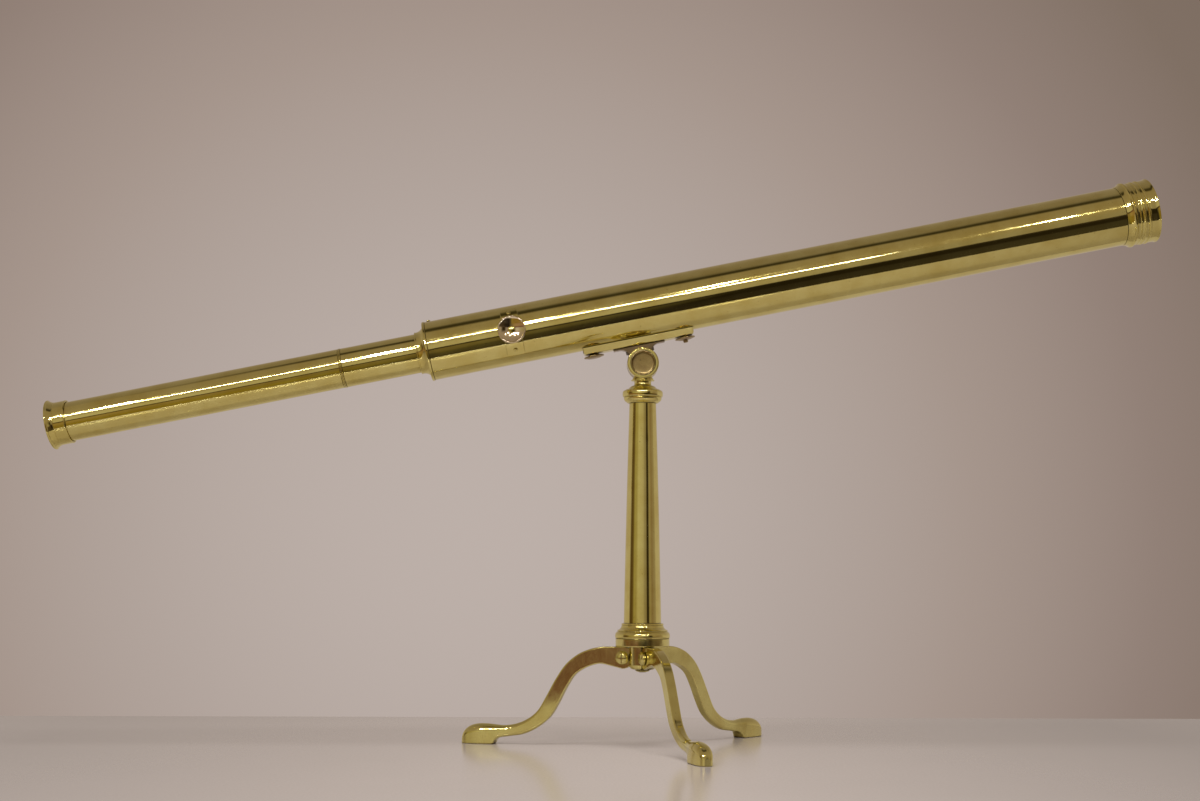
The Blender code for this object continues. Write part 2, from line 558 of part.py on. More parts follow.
def rail_mesh(outline, half_length):
    """Extrude an outline drawn in (y, z) along x, both ways."""
    bm = bmesh.new()
    face = bm.faces.new([bm.verts.new((-half_length, y, z)) for y, z in outline])
    walls = bmesh.ops.extrude_face_region(bm, geom=[face])
    moved = [item for item in walls["geom"] if isinstance(item, bmesh.types.BMVert)]
    bmesh.ops.translate(bm, verts=moved, vec=(2 * half_length, 0, 0))
    bmesh.ops.recalc_face_normals(bm, faces=bm.faces)
    return bm


def bar_edge(side):
    """Wedge cut off the bar's lower edge on this side, in (y, v)."""
    outer = side * (BAR_HALF_WIDTH + GAP)
    return [(side * (BAR_HALF_WIDTH - BAR_CHAMFER), BAR_UNDERSIDE - GAP), (outer, BAR_UNDERSIDE - GAP),
            (outer, BAR_UNDERSIDE + BAR_CHAMFER)]


def mounting_bar(tilt):
    """Saddle bar that hugs the tube; pockets at its ends take the tube's threaded pads."""
    end = BAR_HALF_LENGTH
    top = TUBE_RISE
    bend = BAR_UNDERSIDE + BAR_ROUNDING
    outline = [(end, top), (-end, top), (-end, bend)]
    outline += arc((BAR_ROUNDING - end, bend), BAR_ROUNDING, 180, 270, 4)[1:]
    outline += arc((end - BAR_ROUNDING, bend), BAR_ROUNDING, 270, 360, 4)
    made = finish("mounting_bar", prism_mesh(outline, -BAR_HALF_WIDTH, BAR_HALF_WIDTH), tilt)
    seat = TUBE_RADIUS + GAP
    hollow = [(0, -2 * end), (seat, -2 * end), (seat, 2 * end), (0, 2 * end)]
    bore = turned_mesh(hollow, 2 * ROUND, closed=False)
    combine(made, finish("bar_saddle", bore, tilt, place=along_tube()), 'DIFFERENCE')
    keep_top = box_mesh((-2 * end, -2 * BAR_HALF_WIDTH, saddle_height(BAR_HALF_WIDTH)),
                        (2 * end, 2 * BAR_HALF_WIDTH, 2 * top))
    combine(made, finish("bar_trim", keep_top, tilt), 'DIFFERENCE')
    edges = [rail_mesh(bar_edge(side), 2 * end) for side in (-1, 1)]
    combine(made, finish("bar_edges", join_meshes(edges, [Matrix.Identity(4)] * 2), tilt), 'DIFFERENCE')
    half = PAD_HALF_WIDTH + GAP
    floor = BAR_UNDERSIDE + PAD_FLOOR
    for side in (-1, 1):
        inner, outer = sorted((side * (PAD_AT - PAD_LENGTH / 2 - GAP), side * 2 * end))
        pocket = box_mesh((inner, -half, floor), (outer, half, top))
        combine(made, finish("bar_pocket_%+d" % side, pocket, tilt), 'DIFFERENCE')
        hole = tube_cutter(THUMB_SHANK + GAP, (side * PAD_AT, 0), top)
        combine(made, finish("bar_hole_%+d" % side, hole, tilt), 'DIFFERENCE')
    for u in BRACKET_SCREWS:
        tag = "%+d" % (1 if u > 0 else -1)
        hole = screw_well(u)
        combine(made, finish("bar_well_" + tag, hole, tilt), 'DIFFERENCE')
    return made


def saddle_height(y):
    """v of the bar's hollow, this far out from its centre line."""
    return TUBE_RISE - sqrt((TUBE_RADIUS + GAP) ** 2 - y ** 2)


def screw_well(u):
    """Hole and counterbore for a bracket screw, from the bar's hollow down."""
    head = BAR_UNDERSIDE + 0.0020
    outline = [(0, BAR_UNDERSIDE - 0.002), (BRACKET_SCREW_RADIUS + GAP, BAR_UNDERSIDE - 0.002),
               (BRACKET_SCREW_RADIUS + GAP, head), (COUNTERSINK + GAP, head + 0.0014),
               (COUNTERSINK + GAP, TUBE_RISE), (0, TUBE_RISE)]
    bm = turned_mesh(outline, SMALL, closed=False)
    bmesh.ops.translate(bm, verts=bm.verts, vec=(u, 0, 0))
    return bm


def bracket_screws(tilt):
    """Countersunk screws from the bar down into the bracket."""
    head = BAR_UNDERSIDE + 0.0020 + GAP
    low = BAR_UNDERSIDE - 0.0075
    outline = [(0, low), (BRACKET_SCREW_RADIUS, low), (BRACKET_SCREW_RADIUS, head),
               (COUNTERSINK, head + 0.0014), (COUNTERSINK, head + 0.0018), (0, head + 0.0018)]
    for name, u in zip(("bracket_screw_rear", "bracket_screw_front"), BRACKET_SCREWS):
        finish(name, turned_mesh(outline, SMALL, closed=False), tilt, place=Matrix.Translation((u, 0, 0)))


def tube_pad(name, side, tilt):
    """Threaded pad soldered under the tube, sunk in the end of the bar."""
    low = BAR_UNDERSIDE + PAD_FLOOR + GAP
    half = PAD_LENGTH / 2
    middle = side * PAD_AT
    block = box_mesh((middle - half, -PAD_HALF_WIDTH, low), (middle + half, PAD_HALF_WIDTH, TUBE_RISE))
    pad = finish(name, block, tilt, (DARK_BRASS, 0.3, 1.0))
    seat = TUBE_RADIUS + GAP
    hollow = [(0, -2 * half), (seat, -2 * half), (seat, 2 * half), (0, 2 * half)]
    bore = turned_mesh(hollow, 2 * ROUND, closed=False)
    combine(pad, finish(name + "_saddle", bore, tilt, place=along_tube(middle)), 'DIFFERENCE')
    trim = box_mesh((middle - 2 * half, -BAR_HALF_WIDTH, saddle_height(PAD_HALF_WIDTH)),
                    (middle + 2 * half, BAR_HALF_WIDTH, 2 * TUBE_RISE))
    combine(pad, finish(name + "_trim", trim, tilt), 'DIFFERENCE')
    hole = tube_cutter(THUMB_SHANK + GAP, (middle, 0), TUBE_RISE)
    combine(pad, finish(name + "_bore", hole, tilt), 'DIFFERENCE')
    return pad


def thumb_screw(name, side, drop, nub, tilt):
    """Lens-shaped thumb screw under the bar: its disc hangs this far below."""
    axis = empty(name + "_axis", tilt, Matrix.Translation((side * PAD_AT, 0, BAR_UNDERSIDE)))
    tip = PAD_FLOOR + 2 * GAP + 0.0014
    outline = [(0, tip), (THUMB_SHANK, tip), (THUMB_SHANK, -GAP), (THUMB_COLLAR, -GAP),
               (THUMB_COLLAR, -drop), (THUMB_RADIUS - 0.0008, -drop - 0.0007), (THUMB_RADIUS, -drop - 0.0011),
               (THUMB_RADIUS, -drop - 0.0016), (THUMB_RADIUS * 0.6, -drop - 0.0030)]
    if nub:
        outline += [(nub, -drop - 0.0031), (nub, -drop - 0.0052), (nub - 0.0005, -drop - 0.0057)]
    foot = outline[-1][1]
    outline.append((0, foot))
    finish(name, turned_mesh(outline, MEDIUM, closed=False), axis, (DARK_BRASS, 0.25, 1.0))


# ---------------------------------------------------------------- main tube
def main_tube(tilt):
    """Plain tube, with a hole for the pinion and two for the tail screws."""
    outline = tube_outline(TUBE_RADIUS, TUBE_RADIUS - TUBE_WALL, TUBE_TAIL, TUBE_NOSE)
    tube = finish("main_tube", turned_mesh(outline, ROUND), tilt, place=along_tube())
    outer = 2 * MODULE + MODULE * PINION_TEETH / 2
    hole = [(0, 0), (outer, 0), (outer, 2 * TUBE_RADIUS), (0, 2 * TUBE_RADIUS)]
    cutter = finish("pinion_hole", turned_mesh(hole, SMALL, closed=False), tilt,
                    place=across((PINION_AT, 0, TUBE_RISE)))
    combine(tube, cutter, 'DIFFERENCE')
    for name, turn in TAIL_SCREWS.items():
        hole = finish(name + "_hole", turned_mesh(shank_outline(TAIL_SCREW_RADIUS + GAP), 8, closed=False),
                      tilt, place=tail_screw_place(turn))
        combine(tube, hole, 'DIFFERENCE')
    for name, lean in SADDLE_SCREWS.items():
        hole = finish(name + "_tap", turned_mesh(shank_outline(TAIL_SCREW_RADIUS + GAP), 8, closed=False),
                      tilt, place=saddle_screw_place(lean))
        combine(tube, hole, 'DIFFERENCE')
    return tube


def shank_outline(radius):
    """A plain cutter outwards through the tube wall."""
    return [(0, TUBE_RADIUS - 0.006), (radius, TUBE_RADIUS - 0.006), (radius, TUBE_RADIUS + 0.006),
            (0, TUBE_RADIUS + 0.006)]


def tail_screw_place(turn):
    """Frame on the tube axis whose +Z points out through the wall, turned from v."""
    return Matrix.Translation((TAIL_SCREW_AT, 0, TUBE_RISE)) @ Matrix.Rotation(turn, 4, 'X')


def saddle_screw_place(lean):
    """The same at the pinion saddle, leaning up or down from the knob's side."""
    return Matrix.Translation((PINION_AT, 0, TUBE_RISE)) @ Matrix.Rotation(pi / 2 - lean, 4, 'X')


def tail_collar(tilt):
    """End plate with a sleeve that guides the draw tube."""
    bore = DRAW_RADIUS + GAP
    face = TUBE_TAIL - GAP
    spigot = TUBE_RADIUS - TUBE_WALL - GAP
    lip = face - 0.0026 - 0.0092
    outline = [(bore, lip), (bore + 0.0009, lip), (bore + 0.0010, lip + 0.0014)]
    outline += arc((bore + 0.0060, lip + 0.0016), 0.0048, 180, 122, 3)
    outline += [(bore + 0.0042, face - 0.0042), (bore + 0.0045, face - 0.0026),
                (TUBE_RADIUS + 0.0003, face - 0.0026), (TUBE_RADIUS + 0.0005, face - 0.0020), (TUBE_RADIUS + 0.0005, face),
                (spigot, face), (spigot, face + 0.0080), (spigot - 0.0014, face + 0.0080),
                (spigot - 0.0014, face + 0.0006), (bore + 0.0015, face + 0.0006),
                (bore + 0.0015, face + 0.0095), (bore, face + 0.0095)]
    made = finish("tail_collar", turned_mesh(outline, ROUND), tilt, place=along_tube())
    for name, turn in TAIL_SCREWS.items():
        hole = finish(name + "_tap", turned_mesh(shank_outline(TAIL_SCREW_RADIUS + GAP), 8, closed=False),
                      tilt, place=tail_screw_place(turn))
        combine(made, hole, 'DIFFERENCE')


def tail_screws(tilt):
    """Small round-headed screws that hold the tail collar in the tube."""
    inner = TUBE_RADIUS - TUBE_WALL - GAP - 0.0012
    base = TUBE_RADIUS + GAP
    outline = [(0, inner), (TAIL_SCREW_RADIUS, inner), (TAIL_SCREW_RADIUS, base), (0.0020, base),
               (0.0020, base + 0.0006), (0.0014, base + 0.0012), (0, base + 0.0014)]
    for name, turn in TAIL_SCREWS.items():
        finish(name, turned_mesh(outline, 8, closed=False), tilt, place=tail_screw_place(turn))


# ---------------------------------------------------------------- draw tube
def draw_tube(focus):
    """Inner tube, its guide ring in the main tube and the coupling at its outer end."""
    outline = tube_outline(DRAW_RADIUS, DRAW_RADIUS - DRAW_WALL, COUPLING_AT + BEAD_HALF + GAP, DRAW_INNER_END)
    finish("draw_tube", turned_mesh(outline, ROUND), focus, place=along_tube(rise=0))
    lining = TUBE_RADIUS - TUBE_WALL - GAP
    ring = tube_outline(lining, DRAW_RADIUS + GAP, DRAW_INNER_END - 0.0080, DRAW_INNER_END)
    finish("guide_ring", turned_mesh(ring, ROUND), focus, (DARK_BRASS, 0.35, 1.0), along_tube(rise=0))
    thread = DRAW_RADIUS - DRAW_WALL - GAP
    bead = DRAW_RADIUS + 0.0003
    inside = thread - COUPLING_WALL
    coupling = [(inside, COUPLING_AT - COUPLING_THREAD), (thread, COUPLING_AT - COUPLING_THREAD),
                (thread, COUPLING_AT - BEAD_HALF), (DRAW_RADIUS, COUPLING_AT - BEAD_HALF),
                (bead, COUPLING_AT - BEAD_HALF / 2), (DRAW_RADIUS, COUPLING_AT),
                (bead, COUPLING_AT + BEAD_HALF / 2), (DRAW_RADIUS, COUPLING_AT + BEAD_HALF),
                (thread, COUPLING_AT + BEAD_HALF), (thread, COUPLING_AT + COUPLING_THREAD),
                (inside, COUPLING_AT + COUPLING_THREAD)]
    finish("coupling_ring", turned_mesh(coupling, ROUND), focus, place=along_tube(rise=0))


def eyepiece(focus):
    """Eyepiece tube, the tube of erecting lenses in it, and the flared cap."""
    place = along_tube(rise=0)
    front = COUPLING_AT - BEAD_HALF - GAP
    outline = tube_outline(DRAW_RADIUS, DRAW_RADIUS - DRAW_WALL, EYE_END + 0.0060, front)
    finish("eyepiece_tube", turned_mesh(outline, ROUND), focus, place=place)
    carrier = DRAW_RADIUS - DRAW_WALL - GAP
    low, high = ERECTOR_TUBE
    finish("erector_tube", turned_mesh(tube_outline(carrier, carrier - ERECTOR_WALL, low, high), MEDIUM), focus,
           (DARK_BRASS, 0.35, 1.0), place)
    bore = DRAW_RADIUS + GAP
    sleeve_end = EYE_END + CAP_SLEEVE
    cap = [(EYE_HOLE, EYE_END + 0.0030), (DRAW_RADIUS - 0.0065, EYE_END + 0.0022),
           (DRAW_RADIUS + 0.0001, EYE_END + 0.0006), (DRAW_RADIUS + 0.0019, EYE_END),
           (DRAW_RADIUS + 0.0043, EYE_END + 0.0002), (DRAW_RADIUS + 0.0051, EYE_END + 0.0010),
           (DRAW_RADIUS + 0.0043, EYE_END + 0.0022), (DRAW_RADIUS + 0.0027, EYE_END + 0.0048),
           (DRAW_RADIUS + 0.0018, EYE_END + 0.0076), (DRAW_RADIUS + 0.0018, sleeve_end - 0.0005),
           (DRAW_RADIUS + 0.0015, sleeve_end), (bore, sleeve_end), (bore, EYE_END + 0.0056),
           (EYE_HOLE, EYE_END + 0.0056)]
    finish("eyepiece_cap", turned_mesh(cap, ROUND), focus, place=place)


def lens_outline(radius, rear, front, bulge_rear, bulge_front):
    """A lens turned from its edge: positive bulges are convex."""
    steps = 2
    outline = []
    for step in range(steps + 1):
        share = step / steps
        outline.append((radius * share, rear - bulge_rear * (1 - share ** 2)))
    for step in range(steps + 1):
        share = 1 - step / steps
        outline.append((radius * share, front + bulge_front * (1 - share ** 2)))
    return outline


def lens(name, radius, rear, front, bulge_rear, bulge_front, parent, place):
    bm = turned_mesh(lens_outline(radius, rear, front, bulge_rear, bulge_front), MEDIUM, closed=False)
    return finish(name, bm, parent, (GLASS, 0.03, 0.0), place)


def eyepiece_lenses(focus):
    """Two erecting lenses and the field lens in their tube, and the eye lens behind the cap."""
    place = along_tube(rise=0)
    radius = DRAW_RADIUS - DRAW_WALL - 2 * GAP - ERECTOR_WALL
    low, high = ERECTOR_TUBE
    lens("erector_lens_front", radius, high - 0.0060, high - 0.0035, 0.0, 0.0016, focus, place)
    lens("erector_lens_rear", radius, high - 0.0640, high - 0.0615, 0.0016, 0.0, focus, place)
    lens("field_lens", radius, low + 0.0050, low + 0.0078, 0.0, 0.0018, focus, place)
    lens("eye_lens", LENS_RADIUS, EYE_END + 0.0075, EYE_END + 0.0100, 0.0, 0.0016, focus, place)


# ---------------------------------------------------------------- objective
def objective(tilt):
    """Cell screwed in the tube's nose, an achromat of two lenses, its spacer and its ring."""
    place = along_tube()
    spigot = TUBE_RADIUS - TUBE_WALL - GAP
    seat = OBJECTIVE_RADIUS + GAP
    face = TUBE_NOSE + GAP
    rim = CELL_RIM
    tube = TUBE_RADIUS
    cell = [(seat - 0.0016, face - 0.0100), (spigot, face - 0.0100), (spigot, face), (tube + 0.0002, face),
            (tube + 0.0010, face + 0.0030), (tube + 0.0032, face + 0.0070), (tube + 0.0032, face + 0.0084),
            (tube + 0.0014, face + 0.0098), (tube + 0.0014, face + 0.0154), (tube + 0.0024, face + 0.0164),
            (tube + 0.0017, face + 0.0190), (tube + 0.0026, face + 0.0216), (tube + 0.0026, face + 0.0236),
            (tube + 0.0019, face + 0.0246), (tube + 0.0021, rim - 0.0024), (tube + 0.0028, rim),
            (tube + 0.0013, rim), (tube - 0.0001, rim - 0.0115), (seat, rim - 0.0125),
            (seat, face + 0.0020), (seat - 0.0016, face + 0.0020)]
    finish("objective_cell", turned_mesh(cell, ROUND), tilt, place=place)
    rear = face + 0.0020 + GAP
    flint_front = rear + 0.0048
    lens("flint_lens", OBJECTIVE_RADIUS, rear, flint_front, 0.0, -0.0018, tilt, place)
    spaced = flint_front + GAP
    spacer = tube_outline(OBJECTIVE_RADIUS, OBJECTIVE_RADIUS - 0.0014, spaced, spaced + 0.0006)
    finish("lens_spacer", turned_mesh(spacer, MEDIUM), tilt, (STEEL, 0.4, 1.0), place)
    crown_rear = spaced + 0.0006 + GAP
    crown_front = crown_rear + 0.0032
    lens("crown_lens", OBJECTIVE_RADIUS, crown_rear, crown_front, 0.0016, 0.0019, tilt, place)
    ringed = crown_front + GAP
    ring = tube_outline(OBJECTIVE_RADIUS, OBJECTIVE_RADIUS - 0.0016, ringed, ringed + 0.0022)
    finish("retaining_ring", turned_mesh(ring, ROUND), tilt, (DARK_BRASS, 0.3, 1.0), place)


def stop_ring(tilt):
    """Blackened diaphragm half way along the main tube."""
    outer = TUBE_RADIUS - TUBE_WALL - GAP
    outline = [(STOP_RADIUS, STOP_AT), (outer, STOP_AT), (outer, STOP_AT + 0.0060),
               (outer - 0.0010, STOP_AT + 0.0060), (outer - 0.0010, STOP_AT + 0.0008),
               (STOP_RADIUS, STOP_AT + 0.0008)]
    finish("light_stop", turned_mesh(outline, ROUND), tilt, (DARK_BRASS, 0.6, 1.0), along_tube())


# ---------------------------------------------------------------- focusing
def rack(focus):
    """Toothed strip soldered along the draw tube, teeth upwards, under the pinion."""
    pitch = pi * MODULE
    level = -MODULE * PINION_TEETH / 2
    tip = level + TOOTH_RISE * MODULE
    root = level - TOOTH_ROOT * MODULE
    teeth = round(2 * (FOCUS_TRAVEL + 0.001) / pitch)
    first = PINION_AT - (teeth - 1) / 2 * pitch
    outline = []
    for tooth in range(teeth):
        middle = first + tooth * pitch
        outline += [(middle - 0.28 * pitch, root), (middle - 0.12 * pitch, tip),
                    (middle + 0.12 * pitch, tip), (middle + 0.28 * pitch, root)]
    start = outline[0][0] - 0.22 * pitch
    end = outline[-1][0] + 0.22 * pitch
    bottom = root - RACK_DEPTH
    outline = [(start, bottom), (start, root)] + outline + [(end, root), (end, bottom)]
    made = finish("rack", prism_mesh(outline, -RACK_OUTSIDE, -DRAW_RADIUS * 0.8), focus, (STEEL, 0.35, 1.0))
    reach = DRAW_RADIUS + GAP
    barrel = [(0, 2 * COUPLING_AT), (reach, 2 * COUPLING_AT), (reach, 0), (0, 0)]
    seat = turned_mesh(barrel, ROUND, closed=False)
    combine(made, finish("rack_seat", seat, focus, place=along_tube(rise=0)), 'DIFFERENCE')


def pinion(axis):
    """Toothed pinion on its shaft; +Z of its mesh points out of the tube."""
    pitch_radius = MODULE * PINION_TEETH / 2
    outer = pitch_radius + TOOTH_RISE * MODULE
    inner = pitch_radius - TOOTH_ROOT * MODULE
    tooth = 2 * pi / PINION_TEETH
    low = DRAW_RADIUS + 2 * GAP
    high = low + PINION_FACE
    bm = bmesh.new()
    corners = []
    for index in range(PINION_TEETH):
        middle = tooth * (index + 0.5)
        for share, radius in ((-0.26, inner), (-0.10, outer), (0.10, outer), (0.26, inner)):
            angle = middle + share * tooth
            corners.append(bm.verts.new((radius * sin(angle), -radius * cos(angle), low)))
    face = bm.faces.new(corners)
    grown = bmesh.ops.extrude_face_region(bm, geom=[face])
    moved = [item for item in grown["geom"] if isinstance(item, bmesh.types.BMVert)]
    bmesh.ops.translate(bm, verts=moved, vec=(0, 0, high - low))
    made = finish("pinion", bm, axis, (STEEL, 0.3, 1.0), across((0, 0, 0)))
    shaft_end = TUBE_RADIUS + SADDLE_BOSS + KNOB_DEPTH * 0.6
    shaft = [(0, low + GAP), (SHAFT_RADIUS, low + GAP), (SHAFT_RADIUS, shaft_end), (0, shaft_end)]
    helper = finish("pinion_shaft", turned_mesh(shaft, SMALL, closed=False), axis, place=across((0, 0, 0)))
    combine(made, helper, 'UNION')


def knob(axis):
    """Dished focusing knob with a raised rim, and the screw in its middle."""
    base = TUBE_RADIUS + SADDLE_BOSS + GAP
    face = base + KNOB_DEPTH
    bore = SHAFT_RADIUS + GAP
    hollow = face - KNOB_DISH
    outline = [(bore, base), (SADDLE_BOSS_RADIUS - 0.0006, base), (SADDLE_BOSS_RADIUS, base + 0.0022),
               (KNOB_RADIUS - 0.0008, base + 0.0030), (KNOB_RADIUS, base + 0.0038),
               (KNOB_RADIUS, face - 0.0008), (KNOB_RADIUS - 0.0008, face), (KNOB_RADIUS - 0.0016, face),
               (KNOB_RADIUS - 0.0030, face - 0.0012), (0.5 * KNOB_RADIUS, hollow - 0.0004),
               (bore + 0.0012, hollow), (bore, hollow)]
    finish("focus_knob", turned_mesh(outline, MEDIUM), axis, place=across((0, 0, 0)))
    screw_low = TUBE_RADIUS + SADDLE_BOSS + KNOB_DEPTH * 0.6 + GAP
    under_head = hollow + GAP
    screw = [(0, screw_low), (SHAFT_RADIUS, screw_low), (SHAFT_RADIUS, under_head), (0.0036, under_head),
             (0.0034, face - 0.0006), (0.0020, face), (0, face + 0.0001)]
    finish("knob_screw", turned_mesh(screw, SMALL, closed=False), axis, place=across((0, 0, 0)))


def pinion_saddle(tilt):
    """Curved plate over the pinion's hole, with a boss that carries the shaft."""
    bm = bmesh.new()
    inside = TUBE_RADIUS + GAP
    steps = 10
    half = SADDLE_LENGTH / 2
    rings = []
    for step in range(steps + 1):
        angle = -SADDLE_SPAN / 2 + SADDLE_SPAN * step / steps
        spot = [(radius, u) for radius in (inside, inside + SADDLE_WALL) for u in (-half, half)]
        rings.append([bm.verts.new((u, -radius * cos(angle), radius * sin(angle))) for radius, u in spot])
    for low, high in zip(rings, rings[1:]):
        for first, second in ((0, 1), (1, 3), (3, 2), (2, 0)):
            bm.faces.new((low[first], low[second], high[second], high[first]))
    for ring in (rings[0], rings[-1]):
        bm.faces.new((ring[0], ring[1], ring[3], ring[2]))
    made = finish("pinion_saddle", bm, tilt, place=Matrix.Translation((PINION_AT, 0, TUBE_RISE)))
    top = TUBE_RADIUS + SADDLE_BOSS
    boss = [(0, inside + 0.0006), (SADDLE_BOSS_RADIUS, inside + 0.0006), (SADDLE_BOSS_RADIUS - 0.0004, top),
            (0, top)]
    combine(made, finish("saddle_boss", turned_mesh(boss, SMALL, closed=False), tilt,
                         place=across((PINION_AT, 0, TUBE_RISE))), 'UNION')
    bore = [(0, 0), (SHAFT_RADIUS + GAP, 0), (SHAFT_RADIUS + GAP, 2 * TUBE_RADIUS), (0, 2 * TUBE_RADIUS)]
    combine(made, finish("saddle_bore", turned_mesh(bore, SMALL, closed=False), tilt,
                         place=across((PINION_AT, 0, TUBE_RISE))), 'DIFFERENCE')
    for name, lean in SADDLE_SCREWS.items():
        hole = finish(name + "_hole", turned_mesh(shank_outline(TAIL_SCREW_RADIUS + GAP), 8, closed=False),
                      tilt, place=saddle_screw_place(lean))
        combine(made, hole, 'DIFFERENCE')


def saddle_screws(tilt):
    """Two small screws that hold the saddle to the tube."""
    base = TUBE_RADIUS + GAP + SADDLE_WALL + GAP
    outline = [(0, TUBE_RADIUS - TUBE_WALL), (TAIL_SCREW_RADIUS, TUBE_RADIUS - TUBE_WALL),
               (TAIL_SCREW_RADIUS, base), (0.0020, base), (0.0020, base + 0.0005), (0.0013, base + 0.0010),
               (0, base + 0.0012)]
    for name, lean in SADDLE_SCREWS.items():
        finish(name, turned_mesh(outline, 8, closed=False), tilt, place=saddle_screw_place(lean))


# ---------------------------------------------------------------- assembly
def clear_scene():
    for thing in list(bpy.data.objects):
        bpy.data.objects.remove(thing)


def stand_on_origin(root):
    """Shift everything so that the middle of the bounding box stands on the origin."""
    bpy.context.view_layer.update()
    graph = bpy.context.evaluated_depsgraph_get()
    corners = []
    for thing in bpy.data.objects:
        if thing.type == 'MESH' and not thing.hide_render:
            shape = thing.evaluated_get(graph)
            mesh = shape.to_mesh()
            corners += [shape.matrix_world @ vertex.co for vertex in mesh.vertices]
            shape.to_mesh_clear()
    low = [min(corner[axis] for corner in corners) for axis in range(3)]
    high = [max(corner[axis] for corner in corners) for axis in range(3)]
    root.location = (-(low[0] + high[0]) / 2, -(low[1] + high[1]) / 2, -low[2])


def build():
    clear_scene()
    root = empty("telescope")
    stand = empty("stand", root)
    leg_hub(stand)
    for side in LEG_AZIMUTHS:
        leg(side, stand)
    base_moulding(stand)
    column(stand)
    column_collar(stand)
    tie_rod(stand)
    swivel = empty("azimuth_axis", root)
    yoke(swivel)
    pivot_caps(swivel)
    swivel_nut(swivel)
    level = Matrix.Translation((0, 0, PIVOT_HEIGHT)) @ Matrix.Rotation(-ALTITUDE, 4, 'Y')
    tilt = empty("altitude_axis", swivel, level)
    bracket(tilt)
    mounting_bar(tilt)
    bracket_screws(tilt)
    tube_pad("tube_pad_rear", -1, tilt)
    tube_pad("tube_pad_front", 1, tilt)
    thumb_screw("thumb_screw_rear", -1, 0.0012, 0.0, tilt)
    thumb_screw("thumb_screw_front", 1, 0.0006, 0.0024, tilt)
    main_tube(tilt)
    tail_collar(tilt)
    tail_screws(tilt)
    objective(tilt)
    stop_ring(tilt)
    pinion_saddle(tilt)
    saddle_screws(tilt)
    focus = empty("focus_slide", tilt, Matrix.Translation((0, 0, TUBE_RISE)))
    draw_tube(focus)
    eyepiece(focus)
    eyepiece_lenses(focus)
    rack(focus)
    axis = empty("pinion_axis", tilt, Matrix.Translation((PINION_AT, 0, TUBE_RISE)))
    pinion(axis)
    knob(axis)
    stand_on_origin(root)


build()
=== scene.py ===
# %% [markdown]
# # A brass library telescope on a folding pillar stand
#
# The object is a drawtube telescope of about 1800: thin rolled tubes, turned rings
# and cast legs, all polished and lacquered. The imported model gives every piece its
# place and size. Here each visible piece is made again, finer, at that same place.

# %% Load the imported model
import json
import bpy
import bmesh
from math import atan2, cos, pi, radians, sin, sqrt
from mathutils import Matrix, Vector, noise

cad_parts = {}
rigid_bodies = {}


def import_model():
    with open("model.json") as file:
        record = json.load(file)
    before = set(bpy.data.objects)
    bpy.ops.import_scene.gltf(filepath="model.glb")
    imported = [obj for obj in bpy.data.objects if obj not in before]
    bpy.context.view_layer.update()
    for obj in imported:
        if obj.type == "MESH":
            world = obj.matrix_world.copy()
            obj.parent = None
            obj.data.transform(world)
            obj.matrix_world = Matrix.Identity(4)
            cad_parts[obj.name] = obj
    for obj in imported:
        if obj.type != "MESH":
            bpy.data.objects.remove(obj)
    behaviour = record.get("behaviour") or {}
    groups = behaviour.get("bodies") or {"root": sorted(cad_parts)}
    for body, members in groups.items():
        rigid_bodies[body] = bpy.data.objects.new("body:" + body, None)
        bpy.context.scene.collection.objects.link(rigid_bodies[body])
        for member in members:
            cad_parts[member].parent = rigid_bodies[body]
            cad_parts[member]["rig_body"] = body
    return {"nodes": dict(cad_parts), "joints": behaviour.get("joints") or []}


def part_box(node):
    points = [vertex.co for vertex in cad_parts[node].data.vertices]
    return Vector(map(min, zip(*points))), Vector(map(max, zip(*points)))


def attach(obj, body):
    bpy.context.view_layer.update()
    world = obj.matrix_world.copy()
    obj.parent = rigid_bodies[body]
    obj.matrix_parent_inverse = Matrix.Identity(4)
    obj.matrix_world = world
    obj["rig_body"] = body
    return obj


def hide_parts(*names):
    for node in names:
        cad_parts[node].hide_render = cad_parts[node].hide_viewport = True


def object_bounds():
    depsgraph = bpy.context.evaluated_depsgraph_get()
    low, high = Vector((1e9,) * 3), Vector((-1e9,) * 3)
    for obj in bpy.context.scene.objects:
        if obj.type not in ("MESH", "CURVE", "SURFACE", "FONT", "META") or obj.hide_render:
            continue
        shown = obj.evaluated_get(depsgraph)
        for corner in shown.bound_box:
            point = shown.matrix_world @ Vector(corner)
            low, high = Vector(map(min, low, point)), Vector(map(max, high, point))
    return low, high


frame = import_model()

cad_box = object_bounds()
size = cad_box[1] - cad_box[0]
print("model box in mm:", [round(1000 * side, 1) for side in size])

# %% [markdown]
# ## Where things are
#
# The telescope tilts about a pivot on top of the column. The joints of the packed
# model give that pivot and the line of the tube, so no angle is typed in by hand.
# Three directions are enough for the whole head: along the tube, up from it, and
# across it towards the focusing knob.

# %% Directions and axes
joints = {joint["name"]: joint for joint in frame["joints"]}
pivot = Vector(joints["altitude_tilt"]["pos_m"])
along = Vector(joints["focus_slide"]["axis"]).normalized()
knobwards = Vector((0, -1, 0))
up = along.cross(-knobwards)
skyward = Vector((0, 0, 1))
GAP = 0.0003    # clearance between pieces that fit together


def reach(node, direction, start=Vector()):
    """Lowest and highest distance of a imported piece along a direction."""
    spots = [(vertex.co - start).dot(direction) for vertex in frame["nodes"][node].data.vertices]
    return min(spots), max(spots)


def girth(node, start, axis):
    """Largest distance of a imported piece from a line."""
    away = [vertex.co - start for vertex in frame["nodes"][node].data.vertices]
    return max((spot - axis * spot.dot(axis)).length for spot in away)


def place_of(foot, sideways, axis):
    """A matrix whose Z is the axis and whose X points sideways."""
    matrix = Matrix((sideways, axis.cross(sideways), axis)).transposed().to_4x4()
    matrix.translation = foot
    return matrix


